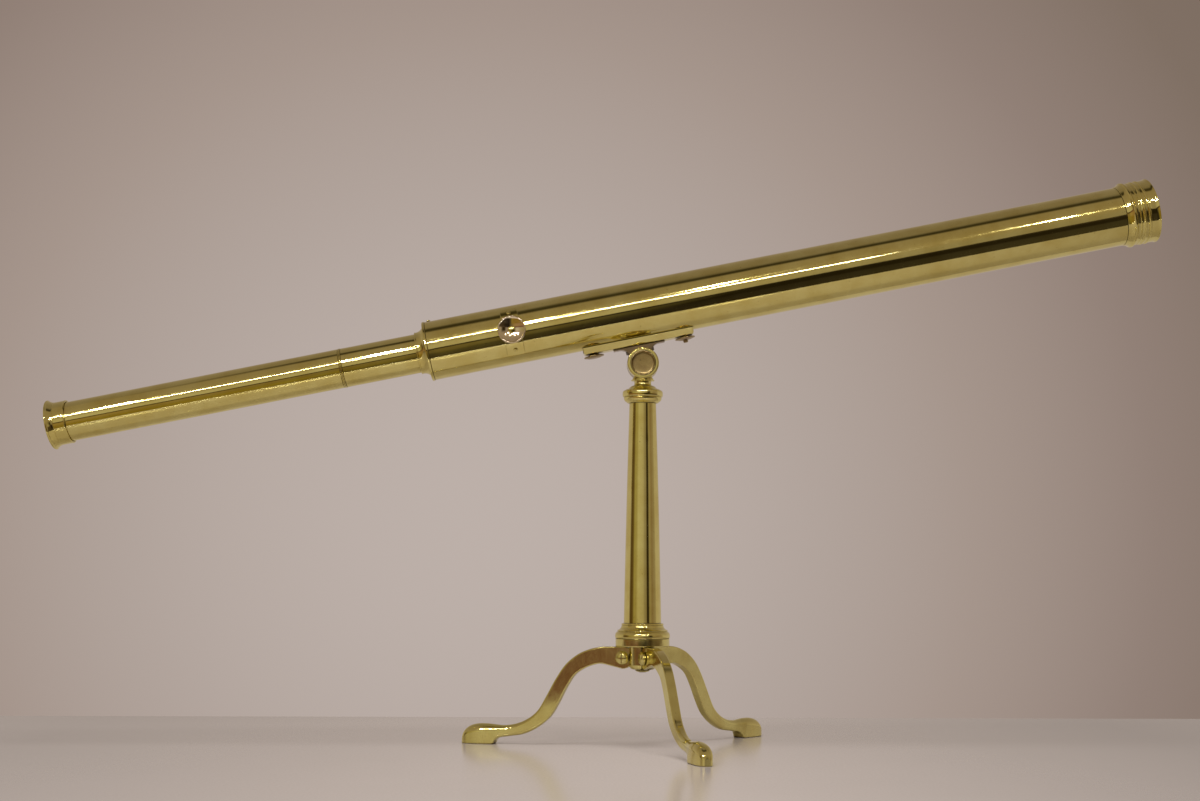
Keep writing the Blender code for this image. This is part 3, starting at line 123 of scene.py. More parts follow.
low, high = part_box("column")
column_foot = Vector(((low.x + high.x) / 2, (low.y + high.y) / 2, 0))
column_place = place_of(column_foot, Vector((1, 0, 0)), skyward)
tube_rise = sum(reach("main_tube", up, pivot)) / 2
tube_place = place_of(pivot + up * tube_rise, up, along)
tail, nose = reach("main_tube", along, pivot)
tube_radius = girth("main_tube", tube_place.translation, along)
draw_radius = girth("eyepiece_tube", tube_place.translation, along)
print("tube axis above the pivot:", round(1000 * tube_rise, 1), "mm")
print("tube from", round(tail, 4), "to", round(nose, 4), "radius", round(tube_radius, 5))

# %% [markdown]
# ## Tools for turned work
#
# Nearly every piece of this telescope came off a lathe, so one helper does most of
# the work: it takes an outline of radius and height and spins it round an axis.
# A Screw modifier would do the same. Building the rings by hand keeps clean quads
# and lets the outline end on the axis in a neat fan.
#
# A real edge is never sharp. Each corner of the outline is rounded a little first,
# which gives the thin bright line that polished brass shows along its edges.

# %% Outlines
def rounded(outline, amount, closed, steps=3):
    """Round the corners of an outline by up to this amount."""
    result = []
    count = len(outline)
    for index in range(count):
        corner = Vector(outline[index][:2])
        ends = not closed and index in (0, count - 1)
        before = Vector(outline[index - 1][:2]) - corner
        after = Vector(outline[(index + 1) % count][:2]) - corner
        if ends or before.length < 1e-7 or after.length < 1e-7 or pi - before.angle(after) < radians(14):
            result.append(tuple(corner))
            continue
        wanted = outline[index][2] if len(outline[index]) > 2 else amount
        cut = min(wanted, 0.45 * before.length, 0.45 * after.length)
        start = corner + before.normalized() * cut
        end = corner + after.normalized() * cut
        for step in range(steps + 1):
            t = step / steps
            spot = start * (1 - t) ** 2 + corner * 2 * t * (1 - t) + end * t ** 2
            result.append(tuple(spot))
    return result


def arc(centre, radius, start, end, steps=8):
    """Points of a circular arc, angles in degrees."""
    turns = [radians(start + (end - start) * step / steps) for step in range(steps + 1)]
    return [(centre[0] + radius * cos(turn), centre[1] + radius * sin(turn)) for turn in turns]


def flowing(points, steps=6):
    """A smooth curve through the points (Catmull-Rom)."""
    spots = [Vector(point) for point in points]
    ends = [2 * spots[0] - spots[1]] + spots + [2 * spots[-1] - spots[-2]]
    result = []
    for index in range(1, len(ends) - 2):
        a, b, c, d = ends[index - 1:index + 3]
        for step in range(steps):
            t = step / steps
            result.append(tuple(0.5 * (2 * b + (c - a) * t + (2 * a - 5 * b + 4 * c - d) * t ** 2
                                       + (3 * b - a - 3 * c + d) * t ** 3)))
    return result + [tuple(spots[-1])]


# %% Meshes
def spun(outline, sides=96):
    """Spin an outline of (radius, height) round Z."""
    bm = bmesh.new()
    rings = []
    for radius, height in outline:
        if radius < 1e-6:
            rings.append([bm.verts.new((0, 0, height))])
            continue
        turns = [2 * pi * side / sides for side in range(sides)]
        rings.append([bm.verts.new((radius * cos(turn), radius * sin(turn), height)) for turn in turns])
    pairs = list(zip(rings, rings[1:]))
    if len(rings[0]) > 1 and len(rings[-1]) > 1:
        pairs.append((rings[-1], rings[0]))
    for first, second in pairs:
        if len(first) == 1 and len(second) == 1:
            continue
        for side in range(sides):
            after = (side + 1) % sides
            corners = [first[side % len(first)], first[after % len(first)],
                       second[after % len(second)], second[side % len(second)]]
            distinct = list(dict.fromkeys(corners))
            if len(distinct) > 2:
                bm.faces.new(distinct)
    bmesh.ops.recalc_face_normals(bm, faces=bm.faces)
    return bm


def piece(name, bm, place, body, replaced, look, flat_edges=40):
    """Make an object from a mesh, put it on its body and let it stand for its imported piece."""
    mesh = bpy.data.meshes.new(name)
    bm.to_mesh(mesh)
    bm.free()
    mesh.shade_smooth()
    mesh.set_sharp_from_angle(angle=radians(flat_edges))
    mesh.materials.append(look)
    made = bpy.data.objects.new(name, mesh)
    bpy.context.scene.collection.objects.link(made)
    made.matrix_world = place
    weigh = made.modifiers.new("even_shading", 'WEIGHTED_NORMAL')
    weigh.keep_sharp = True
    weigh.weight = 100
    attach(made, body)
    if replaced:
        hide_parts(replaced)
    return made


def turned(name, outline, place, body, replaced, look, edge=0.0003, sides=96):
    """A turned piece: round the outline's corners, spin it, place it."""
    closed = outline[0][0] > 1e-6
    made = piece(name, spun(rounded(outline, edge, closed), sides), place, body, replaced, look)
    print(name, "faces:", len(made.data.polygons))
    return made


def carve(target, cutters, operation='DIFFERENCE'):
    """Cut or join with other meshes, and keep the result as the piece's own mesh."""
    for cutter in cutters:
        mesh = bpy.data.meshes.new("cutter")
        bmesh.ops.recalc_face_normals(cutter, faces=cutter.faces)
        cutter.to_mesh(mesh)
        cutter.free()
        tool = bpy.data.objects.new("cutter", mesh)
        bpy.context.scene.collection.objects.link(tool)
        tool.matrix_world = target.matrix_world.copy()
        change = target.modifiers.new("carve", 'BOOLEAN')
        change.operation = operation
        change.object = tool
        change.solver = 'EXACT'
        target.modifiers.move(len(target.modifiers) - 1, 0)
        bpy.context.view_layer.update()
        weigh = target.modifiers["even_shading"]
        weigh.show_viewport = False
        shape = target.evaluated_get(bpy.context.evaluated_depsgraph_get())
        carved = bpy.data.meshes.new_from_object(shape)
        target.modifiers.remove(change)
        weigh.show_viewport = True
        target.data = carved
        bpy.data.objects.remove(tool)
    target.data.shade_smooth()
    target.data.set_sharp_from_angle(angle=radians(30))


def block(low_corner, high_corner):
    """A box mesh between two corners, used as a cutter."""
    bm = bmesh.new()
    bmesh.ops.create_cube(bm, size=1.0)
    spread = Vector(high_corner) - Vector(low_corner)
    bmesh.ops.scale(bm, verts=bm.verts, vec=spread)
    bmesh.ops.translate(bm, verts=bm.verts, vec=(Vector(high_corner) + Vector(low_corner)) / 2)
    return bm


def shifted(bm, matrix):
    """The same mesh, moved by a matrix."""
    bmesh.ops.transform(bm, matrix=matrix, verts=bm.verts)
    return bm


def lofted(bm, rings):
    """Walls between neighbouring rings of points, and a face at each end."""
    for near, far in zip(rings, rings[1:]):
        for index in range(len(near)):
            following = (index + 1) % len(near)
            bm.faces.new((near[index], near[following], far[following], far[index]))
    for ring in (rings[0], rings[-1]):
        bm.faces.new(ring)
    bmesh.ops.recalc_face_normals(bm, faces=bm.faces)
    return bm


def slab(outline, low_side, high_side):
    """Extrude an outline drawn in X and Z along Y."""
    bm = bmesh.new()
    face = bm.faces.new([bm.verts.new((x, low_side, z)) for x, z in outline])
    walls = bmesh.ops.extrude_face_region(bm, geom=[face])
    moved = [item for item in walls["geom"] if isinstance(item, bmesh.types.BMVert)]
    bmesh.ops.translate(bm, verts=moved, vec=(0, high_side - low_side, 0))
    bmesh.ops.recalc_face_normals(bm, faces=bm.faces)
    return bm


# %% [markdown]
# ## Brass
#
# Old brass instruments were polished along the tube and lacquered. What makes the
# metal look real is not its colour but what it does with a reflection: very faint
# waves in the sheet bend it, hairlines from polishing smear it a little, finger
# marks make some spots duller, and corners and creases are darkened to brown by an
# occlusion measure, which is painted shade with a little tarnish in it. Each of those is
# one small group of nodes below, all in metres, so the scale stays right on every piece.

# %% A metal with a history
def new_finish(name):
    """A material, its node tree, its surface node and the piece's own coordinates."""
    made = bpy.data.materials.new(name)
    made.use_nodes = True
    tree = made.node_tree
    return made, tree, tree.nodes["Principled BSDF"], tree.nodes.new("ShaderNodeTexCoord").outputs["Object"]


def texture(tree, kind, coordinates, **values):
    made = tree.nodes.new(kind)
    for name, value in values.items():
        made.inputs[name].default_value = value
    tree.links.new(coordinates, made.inputs["Vector"])
    return made


def stretched(tree, coordinates, scale):
    made = tree.nodes.new("ShaderNodeMapping")
    made.inputs["Scale"].default_value = scale
    tree.links.new(coordinates, made.inputs["Vector"])
    return made.outputs["Vector"]


def ramp(tree, value, stops):
    made = tree.nodes.new("ShaderNodeValToRGB")
    while len(made.color_ramp.elements) < len(stops):
        made.color_ramp.elements.new(0.5)
    for element, (position, colour) in zip(made.color_ramp.elements, stops):
        element.position = position
        element.color = (*colour, 1.0) if isinstance(colour, tuple) else (colour, colour, colour, 1.0)
    tree.links.new(value, made.inputs["Fac"])
    return made.outputs["Color"]


def blended(tree, share, first, second):
    made = tree.nodes.new("ShaderNodeMix")
    made.data_type = 'RGBA'
    for socket, value in ((made.inputs["Factor"], share), (made.inputs["A"], first),
                          (made.inputs["B"], second)):
        if isinstance(value, (tuple, float)):
            socket.default_value = value if isinstance(value, float) else (*value, 1.0)
        else:
            tree.links.new(value, socket)
    return made.outputs["Result"]


def summed(tree, first, second, operation='ADD'):
    made = tree.nodes.new("ShaderNodeMath")
    made.operation = operation
    for socket, value in zip(made.inputs, (first, second)):
        if isinstance(value, float):
            socket.default_value = value
        else:
            tree.links.new(value, socket)
    return made.outputs["Value"]


def relief(tree, height, depth, under=None):
    made = tree.nodes.new("ShaderNodeBump")
    made.inputs["Distance"].default_value = depth
    tree.links.new(height, made.inputs["Height"])
    if under:
        tree.links.new(under, made.inputs["Normal"])
    return made.outputs["Normal"]


def metal(name, colour, deeper, tarnish_and_shade_colour, gloss, hairs, hair_depth, wave, wave_depth, shade_and_tarnish_strength=0.5):
    """Polished metal. hairs and wave are scales per metre along X, Y and Z of the piece."""
    made, tree, surface, here = new_finish(name)
    surface.inputs["Metallic"].default_value = 1.0
    cloud = texture(tree, "ShaderNodeTexNoise", here, Scale=38.0, Detail=4.0, Roughness=0.6).outputs["Fac"]
    smear = texture(tree, "ShaderNodeTexNoise", stretched(tree, here, (210, 210, 90)), Scale=1.0,
                    Detail=5.0, Roughness=0.65).outputs["Fac"]
    hairline = texture(tree, "ShaderNodeTexNoise", stretched(tree, here, hairs), Scale=1.0,
                       Detail=3.0, Roughness=0.7).outputs["Fac"]
    fleck = texture(tree, "ShaderNodeTexNoise", here, Scale=620.0, Detail=2.0, Roughness=0.5).outputs["Fac"]
    ripple = texture(tree, "ShaderNodeTexNoise", stretched(tree, here, wave), Scale=1.0,
                     Detail=1.0, Roughness=0.4).outputs["Fac"]
    # Painted shade: an occlusion measure darkens the colour to brown in corners, creases and between parts,
    # partly tarnish and partly shade.
    corner = tree.nodes.new("ShaderNodeAmbientOcclusion")
    corner.inputs["Distance"].default_value = 0.0028
    corner.samples = 4
    tone = blended(tree, ramp(tree, cloud, [(0.38, 0.0), (0.66, 1.0)]), colour, deeper)
    spots = ramp(tree, fleck, [(0.69, 0.0), (0.74, 0.45)])
    tone = blended(tree, spots, tone, tarnish_and_shade_colour)
    crease_shade_and_tarnish = ramp(tree, corner.outputs["AO"], [(0.30, shade_and_tarnish_strength), (0.78, 0.0)])
    tone = blended(tree, crease_shade_and_tarnish, tone, tarnish_and_shade_colour)
    tree.links.new(tone, surface.inputs["Base Color"])
    rough = tree.nodes.new("ShaderNodeMapRange")
    rough.inputs["From Min"].default_value = 0.35
    rough.inputs["From Max"].default_value = 0.75
    rough.inputs["To Min"].default_value = gloss
    rough.inputs["To Max"].default_value = gloss + 0.06
    tree.links.new(smear, rough.inputs["Value"])
    dull = summed(tree, summed(tree, crease_shade_and_tarnish, 0.35, 'MULTIPLY'), rough.outputs["Result"])
    tree.links.new(dull, surface.inputs["Roughness"])
    waved = relief(tree, ripple, wave_depth)
    tree.links.new(relief(tree, hairline, hair_depth, waved), surface.inputs["Normal"])
    return made


BRASS = (0.87, 0.785, 0.30)
DEEP_BRASS = (0.77, 0.66, 0.215)
BROWN = (0.16, 0.09, 0.03)
tube_brass = metal("tube_brass", BRASS, DEEP_BRASS, BROWN, 0.045, (2600, 2600, 45), 2.2e-6,
                   (26, 26, 7), 5.0e-5, 0.75)
lathe_brass = metal("lathe_brass", BRASS, DEEP_BRASS, BROWN, 0.045, (150, 150, 5200), 2.0e-6,
                    (30, 30, 30), 1.5e-5, 0.85)
cast_brass = metal("cast_brass", (0.84, 0.77, 0.30), (0.74, 0.64, 0.23), BROWN, 0.06, (1500, 900, 900),
                   2.6e-6,
                   (60, 60, 60), 6.0e-5, 0.8)
dull_brass = metal("dull_brass", (0.52, 0.41, 0.17), (0.30, 0.21, 0.09), (0.05, 0.03, 0.015), 0.20,
                   (700, 700, 2400), 4.0e-6, (80, 80, 80), 4.0e-5, 0.9)
screw_steel = metal("screw_steel", (0.40, 0.38, 0.35), (0.26, 0.23, 0.20), (0.05, 0.035, 0.02), 0.24,
                    (2000, 2000, 2000), 4.0e-6, (80, 80, 80), 3.0e-5, 0.8)
print("metals made:", len(bpy.data.materials))

# %% [markdown]
# ## Black paint and glass
#
# The inside of a telescope is blackened so that stray light dies there. The paint
# is matt and slightly grainy, with brass showing where it has rubbed. Old optical
# glass has a faint straw tint; it is drawn with transmission and a trace of smear.

# %% Paint and glass
def black_paint(name):
    made, tree, surface, here = new_finish(name)
    grain = texture(tree, "ShaderNodeTexNoise", here, Scale=900.0, Detail=4.0).outputs["Fac"]
    worn = texture(tree, "ShaderNodeTexNoise", here, Scale=160.0, Detail=6.0, Roughness=0.7).outputs["Fac"]
    rubbed = ramp(tree, worn, [(0.62, 0.0), (0.68, 0.6)])
    tree.links.new(blended(tree, rubbed, (0.012, 0.011, 0.010), (0.16, 0.11, 0.05)),
                   surface.inputs["Base Color"])
    tree.links.new(ramp(tree, grain, [(0.3, 0.55), (0.7, 0.75)]), surface.inputs["Roughness"])
    tree.links.new(relief(tree, grain, 2.0e-5), surface.inputs["Normal"])
    return made


def optical_glass(name):
    made, tree, surface, here = new_finish(name)
    surface.inputs["Transmission Weight"].default_value = 1.0
    surface.inputs["IOR"].default_value = 1.52
    haze = texture(tree, "ShaderNodeTexNoise", here, Scale=140.0, Detail=4.0).outputs["Fac"]
    tree.links.new(ramp(tree, haze, [(0.45, (0.93, 0.97, 0.94)), (0.7, (0.88, 0.93, 0.88))]),
                   surface.inputs["Base Color"])
    tree.links.new(ramp(tree, haze, [(0.5, 0.01), (0.75, 0.07)]), surface.inputs["Roughness"])
    return made


inner_black = black_paint("inner_black")
lens_glass = optical_glass("lens_glass")

# %% [markdown]
# ## The main tube
#
# A sheet of brass rolled round a mandrel and soldered along a seam. It is round to
# the eye, but two centuries of polishing and handling leave soft dents, and those
# are what bend the long reflections. So the tube gets many rings, and each vertex
# is pressed in by a few hundredths of a millimetre of slow noise, never outwards.

# %% Main tube
WALL = 0.0009


def rolled_tube(radius, wall, start, end, dent, seed, spacing=0.004, sides=128):
    """A thin tube whose outer skin is very slightly uneven."""
    count = max(2, round((end - start) / spacing))
    ring = [start + (end - start) * step / count for step in range(count + 1)]
    edge = 0.00025
    outside = [(radius - edge, start), (radius, start + edge)]
    outside += [(radius, height) for height in ring[1:-1]]
    outside += [(radius, end - edge), (radius - edge, end)]
    bm = spun(outside + [(radius - wall, end), (radius - wall, start)], sides)
    for vertex in bm.verts:
        away = Vector((vertex.co.x, vertex.co.y, 0))
        if away.length > radius - 0.5 * wall:
            turn = away.normalized()
            spot = Vector((turn.x * 0.9, turn.y * 0.9, vertex.co.z * 14.0)) + seed
            near_end = min(vertex.co.z - start, end - vertex.co.z)
            ease = min(1.0, near_end / 0.006)
            press = dent * ease * (0.5 + 0.5 * noise.noise(spot))
            vertex.co -= turn * press
    return bm


bm = rolled_tube(tube_radius, WALL, tail, nose, 0.00022, Vector((3.1, 0.4, 8.2)))
main_tube = piece("main_tube_fine", bm, tube_place, "telescope_body", "main_tube", tube_brass)
pinion_low, pinion_high = reach("pinion", along, pivot)
pinion_at = (pinion_low + pinion_high) / 2
knob_turn = Matrix.Rotation(-pi / 2, 4, 'X')
to_pinion = Matrix.Translation((0, 0, pinion_at)) @ knob_turn
carve(main_tube, [shifted(spun([(0, 0), (0.0063, 0), (0.0063, 0.06), (0, 0.06)], 48), to_pinion)])
print("main tube faces:", len(main_tube.data.polygons), "pinion at", round(pinion_at, 4))

# %% [markdown]
# ## The objective cell
#
# The cell screws into the tube's nose and holds the two lenses. Its outside is
# pure turner's work: a cavetto that swells to a ring, a hollow with one thin bead,
# a double bead, then a plain band that ends in a slight flare. The mouth is deep,
# and its wall keeps the fine thread of a dust cap.

# %% Objective cell
face = nose + GAP
rim = reach("objective_cell", along, pivot)[1]
cell_lens = girth("crown_lens", tube_place.translation, along)
seat = cell_lens + GAP
outline = [(seat - 0.0016, face - 0.0100), (tube_radius - WALL - GAP, face - 0.0100),
           (tube_radius - WALL - GAP, face), (tube_radius + 0.0002, face), (0.0297, face + 0.0010)]
outline += [(0.0300, face + 0.0024), (0.0306, face + 0.0042), (0.0316, face + 0.0058)]
outline += [(0.0325, face + 0.0066, 0.0002), (0.0325, face + 0.0082, 0.0004), (0.0314, face + 0.0087)]
outline += [(0.0308, face + 0.0094), (0.0306, face + 0.0108), (0.0306, face + 0.0122)]
outline += arc((0.0306, face + 0.0130), 0.0006, -70, 70, 6)
outline += [(0.0306, face + 0.0138), (0.0307, face + 0.0152)]
outline += arc((0.0307, face + 0.0170), 0.0011, -75, 75, 7)
outline += [(0.0309, face + 0.0186), (0.0309, face + 0.0194)]
outline += arc((0.0306, face + 0.0220), 0.0013, -80, 80, 8)
outline += [(0.0311, face + 0.0246), (0.0312, face + 0.0280), (0.0313, rim - 0.0030),
            (0.0317, rim - 0.0014)]
outline += [(0.0321, rim - 0.0004, 0.0004), (0.0318, rim, 0.0003), (0.0306, rim, 0.0003)]
for groove in range(9):
    height = rim - 0.0016 - 0.0009 * groove
    outline += [(0.0301, height), (0.0298, height - 0.00045)]
outline += [(0.0298, rim - 0.0098), (0.0292, rim - 0.0115), (seat, rim - 0.0125),
            (seat, face + 0.0020), (seat - 0.0016, face + 0.0020)]
turned("objective_cell_fine", outline, tube_place, "telescope_body", "objective_cell", lathe_brass,
       edge=0.00025, sides=144)
ring_low, ring_high = reach("retaining_ring", along, pivot)
outline = [(cell_lens - 0.0016, ring_low), (cell_lens, ring_low), (cell_lens, ring_high),
           (cell_lens - 0.0010, ring_high), (cell_lens - 0.0016, ring_high - 0.0007)]
retaining_ring = turned("retaining_ring_fine", outline, tube_place, "telescope_body", "retaining_ring",
                        dull_brass)
carve(retaining_ring, [block((-0.03, -0.0009, ring_high - 0.0008), (0.03, 0.0009, ring_high + 0.001))])


# %% [markdown]
# ## Lenses
#
# A lens surface is a piece of a large sphere. Its outline is worked out from how
# far it bulges, with enough steps that the reflection in it stays smooth.

# %% Lenses
def lens(name, node, rear_bulge, front_bulge, body):
    """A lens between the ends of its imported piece, bulging inside them."""
    start, end = reach(node, along, pivot)
    radius = girth(node, tube_place.translation, along)
    steps = 14
    shares = [step / steps for step in range(steps + 1)]
    rear = start + max(rear_bulge, 0.0)
    front = end - max(front_bulge, 0.0)
    outline = [(radius * share, rear - rear_bulge * (1 - share ** 2)) for share in shares]
    outline += [(radius * share, front + front_bulge * (1 - share ** 2)) for share in reversed(shares)]
    return turned(name, outline, tube_place, body, node, lens_glass, edge=0.0001)


lens("crown_lens_fine", "crown_lens", 0.0016, 0.0019, "telescope_body")
lens("flint_lens_fine", "flint_lens", 0.0, -0.0018, "telescope_body")
lens("eye_lens_fine", "eye_lens", 0.0, 0.0016, "drawtube")

# %% [markdown]
# ## The tail collar
#
# At the other end a turned plug closes the tube. Its thin plate stands a hair proud
# of the tube, and a short trumpet carries the draw tube, ending in a rolled lip.

# %% Tail collar
plate = tail - GAP
bore = draw_radius + GAP
lip = plate - 0.0118
plug = tube_radius - WALL - GAP
outline = [(bore, lip + 0.0003), (bore + 0.0004, lip, 0.0002), (bore + 0.0011, lip + 0.0001, 0.0003)]
outline += [(bore + 0.0012, lip + 0.0010, 0.0003), (bore + 0.0009, lip + 0.0015)]
outline += flowing([(bore + 0.0010, lip + 0.0020), (bore + 0.0014, lip + 0.0042),
                    (bore + 0.0025, lip + 0.0064),
                    (0.0240, plate - 0.0034)], 5)
outline += [(0.0244, plate - 0.0027), (tube_radius + 0.0001, plate - 0.0026),
            (tube_radius + 0.0005, plate - 0.0020),
            (tube_radius + 0.0005, plate - 0.0004), (tube_radius + 0.0001, plate), (plug, plate),
            (plug, plate + 0.0080), (plug - 0.0014, plate + 0.0080), (plug - 0.0014, plate + 0.0006),
            (bore + 0.0015, plate + 0.0006), (bore + 0.0015, plate + 0.0095), (bore, plate + 0.0095)]
turned("tail_collar_fine", outline, tube_place, "telescope_body", "tail_collar", lathe_brass, sides=128)

# %% [markdown]
# ## Small round-headed screws
#
# Two hold the tail collar and two the pinion saddle. A screw head catches the eye
# because of its slot, so each is turned as a button and then slotted.


# %% Small screws
def middle_of(node):
    low_corner, high_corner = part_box(node)
    return (low_corner + high_corner) / 2


def button_screw(name, node, body, slot_turn):
    """A button-headed screw whose axis runs out from the tube's axis."""
    centre = middle_of(node)
    foot = tube_place.translation + along * (centre - tube_place.translation).dot(along)
    outwards = (centre - foot).normalized()
    start, end = reach(node, outwards, foot)
    head = end - 0.0014 if "tail" in node else end - 0.0012
    outline = [(0, start), (0.0010, start), (0.0010, head), (0.0020, head), (0.0020, head + 0.0004, 0.0002)]
    outline += [(0.0017, head + 0.0009), (0.0010, end - 0.0001), (0, end)]
    made = turned(name, outline, place_of(foot, along, outwards), body, node, lathe_brass, edge=0.0002,
                  sides=40)
    bm = block((-0.0002, -0.003, end - 0.0006), (0.0002, 0.003, end + 0.001))
    bmesh.ops.rotate(bm, verts=bm.verts, matrix=Matrix.Rotation(slot_turn, 3, 'Z'))
    carve(made, [bm])
    return made


button_screw("tail_screw_top_fine", "tail_screw_top", "telescope_body", 0.4)
button_screw("tail_screw_far_fine", "tail_screw_far", "telescope_body", 1.3)
button_screw("saddle_screw_top_fine", "saddle_screw_top", "telescope_body", 0.9)
button_screw("saddle_screw_bottom_fine", "saddle_screw_bottom", "telescope_body", 2.2)

# %% [markdown]
# ## Draw tube and eyepiece
#
# The thinner tube slides in the collar. Half way out it unscrews at a coupling,
# which shows as two fine lines, and the far end wears a flared cap that keeps the
# eye at the right distance. Its rim is a rolled bead, thin and bright.

# %% Thin tubes
draw_start, draw_end = reach("draw_tube", along, pivot)
eye_start, eye_end = reach("eyepiece_tube", along, pivot)
coupling = (draw_start + eye_end) / 2
bm = rolled_tube(draw_radius, 0.0008, draw_start, draw_end, 0.00012, Vector((1.7, 5.2, 0.3)), 0.005, 112)
piece("draw_tube_fine", bm, tube_place, "drawtube", "draw_tube", tube_brass)
bm = rolled_tube(draw_radius, 0.0008, eye_start, eye_end, 0.00014, Vector((6.7, 2.2, 4.3)), 0.004, 112)
piece("eyepiece_tube_fine", bm, tube_place, "drawtube", "eyepiece_tube", tube_brass)
thread = draw_radius - 0.0011
outline = [(thread - 0.0012, coupling - 0.008), (thread, coupling - 0.008), (thread, coupling - 0.0011),
           (draw_radius - 0.0001, coupling - 0.0011)]
outline += arc((draw_radius - 0.0002, coupling - 0.00058), 0.0005, -80, 80, 6)
outline += [(draw_radius - 0.0002, coupling)]
outline += arc((draw_radius - 0.0002, coupling + 0.00058), 0.0005, -80, 80, 6)
outline += [(draw_radius - 0.0001, coupling + 0.0011), (thread, coupling + 0.0011),
            (thread, coupling + 0.008),
            (thread - 0.0012, coupling + 0.008)]
turned("coupling_ring_fine", outline, tube_place, "drawtube", "coupling_ring", lathe_brass, edge=0.0001,
       sides=112)

# %% Eyepiece cap
cap_start, cap_end = reach("eyepiece_cap", along, pivot)
cap_radius = girth("eyepiece_cap", tube_place.translation, along)
outline = [(0.0060, cap_start + 0.0031, 0.0002), (0.0100, cap_start + 0.0027), (0.0150, cap_start + 0.0018),
           (0.0190, cap_start + 0.0008), (0.0216, cap_start + 0.0001)]
outline += arc((cap_radius - 0.0011, cap_start + 0.0011), 0.0011, -110, 70, 12)
outline += flowing([(cap_radius - 0.0012, cap_start + 0.0026), (cap_radius - 0.0020, cap_start + 0.0040),
                    (cap_radius - 0.0028, cap_start + 0.0056), (cap_radius - 0.0032, cap_start + 0.0070)],
                   4)
outline += [(cap_radius - 0.0035, cap_start + 0.0073), (cap_radius - 0.0034, cap_start + 0.0077),
            (cap_radius - 0.0032, cap_start + 0.0079), (cap_radius - 0.0033, cap_end - 0.0012),
            (cap_radius - 0.0031, cap_end - 0.0008, 0.0003), (cap_radius - 0.0033, cap_end, 0.0004)]
outline += [(draw_radius + 0.0003, cap_end), (draw_radius + 0.0003, cap_start + 0.0056),
            (0.0060, cap_start + 0.0056)]
turned("eyepiece_cap_fine", outline, tube_place, "drawtube", "eyepiece_cap", lathe_brass, edge=0.0002,
       sides=128)

# %% [markdown]
# ## Focusing knob
#
# The knob is a thick milled wheel with a dished, mirror-bright face. It sits on a
# shaft that comes out through a curved saddle plate, so the saddle is bent to the
# tube: a thin patch of a larger cylinder, with a low boss in the middle.

# %% Knob and its screw
knob_foot = tube_place.translation + along * pinion_at
knob_place = place_of(knob_foot, up, knobwards)
base, knob_face = reach("focus_knob", knobwards, knob_foot)
knob_radius = girth("focus_knob", knob_foot, knobwards)
outline = [(0.0028, base), (0.0060, base), (0.0066, base + 0.0022, 0.0012),
           (knob_radius - 0.0014, base + 0.0028),
           (knob_radius - 0.0004, base + 0.0032), (knob_radius - 0.0004, base + 0.0041)]
outline += [(knob_radius - 0.0001, base + 0.0043), (knob_radius - 0.0001, knob_face - 0.0017),
            (knob_radius - 0.0006, knob_face - 0.0014), (knob_radius - 0.0004, knob_face - 0.0010)]
outline += arc((knob_radius - 0.0011, knob_face - 0.0007), 0.0007, 0, 150, 7)
dish_edge = knob_radius - 0.0018
dish_depth = 0.0030
dish = [(dish_edge * share, knob_face - 0.0004 - dish_depth * (1 - share ** 2))
        for share in (1.0, 0.93, 0.86, 0.79, 0.72, 0.65, 0.58, 0.51, 0.44, 0.37, 0.30)]
outline += dish + [(0.0028, dish[-1][1] - 0.0002)]
bm = spun(rounded(outline, 0.0002, True), 180)
boss_low = dish[-1][1] + 0.0002
mill_low = base + 0.0043
mill_high = knob_face - 0.0017
for vertex in bm.verts:
    across_knob = Vector((vertex.co.x, vertex.co.y, 0))
    if across_knob.length > knob_radius - 0.0003 and mill_low < vertex.co.z < mill_high + 0.00002:
        around = atan2(vertex.co.y, vertex.co.x)
        vertex.co -= across_knob.normalized() * 0.00022 * (0.5 + 0.5 * cos(60 * around))
knob_brass = metal("knob_brass", (0.88, 0.76, 0.52), (0.78, 0.64, 0.40), BROWN, 0.05, (150, 150, 5200),
                   1.2e-6,
                   (30, 30, 30), 1.2e-5, 0.7)
piece("focus_knob_fine", bm, knob_place, "focus_pinion", "focus_knob", knob_brass)
screw_low, screw_high = reach("knob_screw", knobwards, knob_foot)
outline = [(0, screw_low), (0.0025, screw_low), (0.0025, boss_low), (0.0034, boss_low),
           (0.0035, boss_low + 0.0004),
           (0.0030, boss_low + 0.0010), (0.0018, boss_low + 0.0014), (0, boss_low + 0.0016)]
turned("knob_screw_fine", outline, knob_place, "focus_pinion", "knob_screw", lathe_brass, edge=0.0003,
       sides=56)

# %% Pinion saddle
saddle_low, saddle_high = reach("pinion_saddle", along, pivot)
saddle_span = radians(96)
inside = tube_radius + GAP
thick = 0.0014
half = (saddle_high - saddle_low) / 2
bm = bmesh.new()
rows = []
bend_steps = 40
soft = 0.0004
section = rounded([(inside, -half), (inside, half), (inside + thick, half, soft),
                   (inside + thick, -half, soft)],
                  soft, True)
for step in range(bend_steps + 1):
    turn = -saddle_span / 2 + saddle_span * step / bend_steps
    rows.append([bm.verts.new((r * sin(turn), r * cos(turn), pinion_at + z)) for r, z in section])
saddle = piece("pinion_saddle_fine", lofted(bm, rows), tube_place, "telescope_body", "pinion_saddle",
               lathe_brass)
boss_top = reach("pinion_saddle", knobwards, knob_foot)[1]
boss = spun(rounded([(0, inside + 0.0006), (0.0068, inside + 0.0006), (0.0066, boss_top - 0.0006),
                     (0.0060, boss_top), (0, boss_top)], 0.0004, False), 64)
carve(saddle, [shifted(boss, to_pinion)], 'UNION')
carve(saddle, [shifted(spun([(0, 0), (0.0028, 0), (0.0028, 0.06), (0, 0.06)], 40), to_pinion)])
print("saddle faces:", len(saddle.data.polygons))

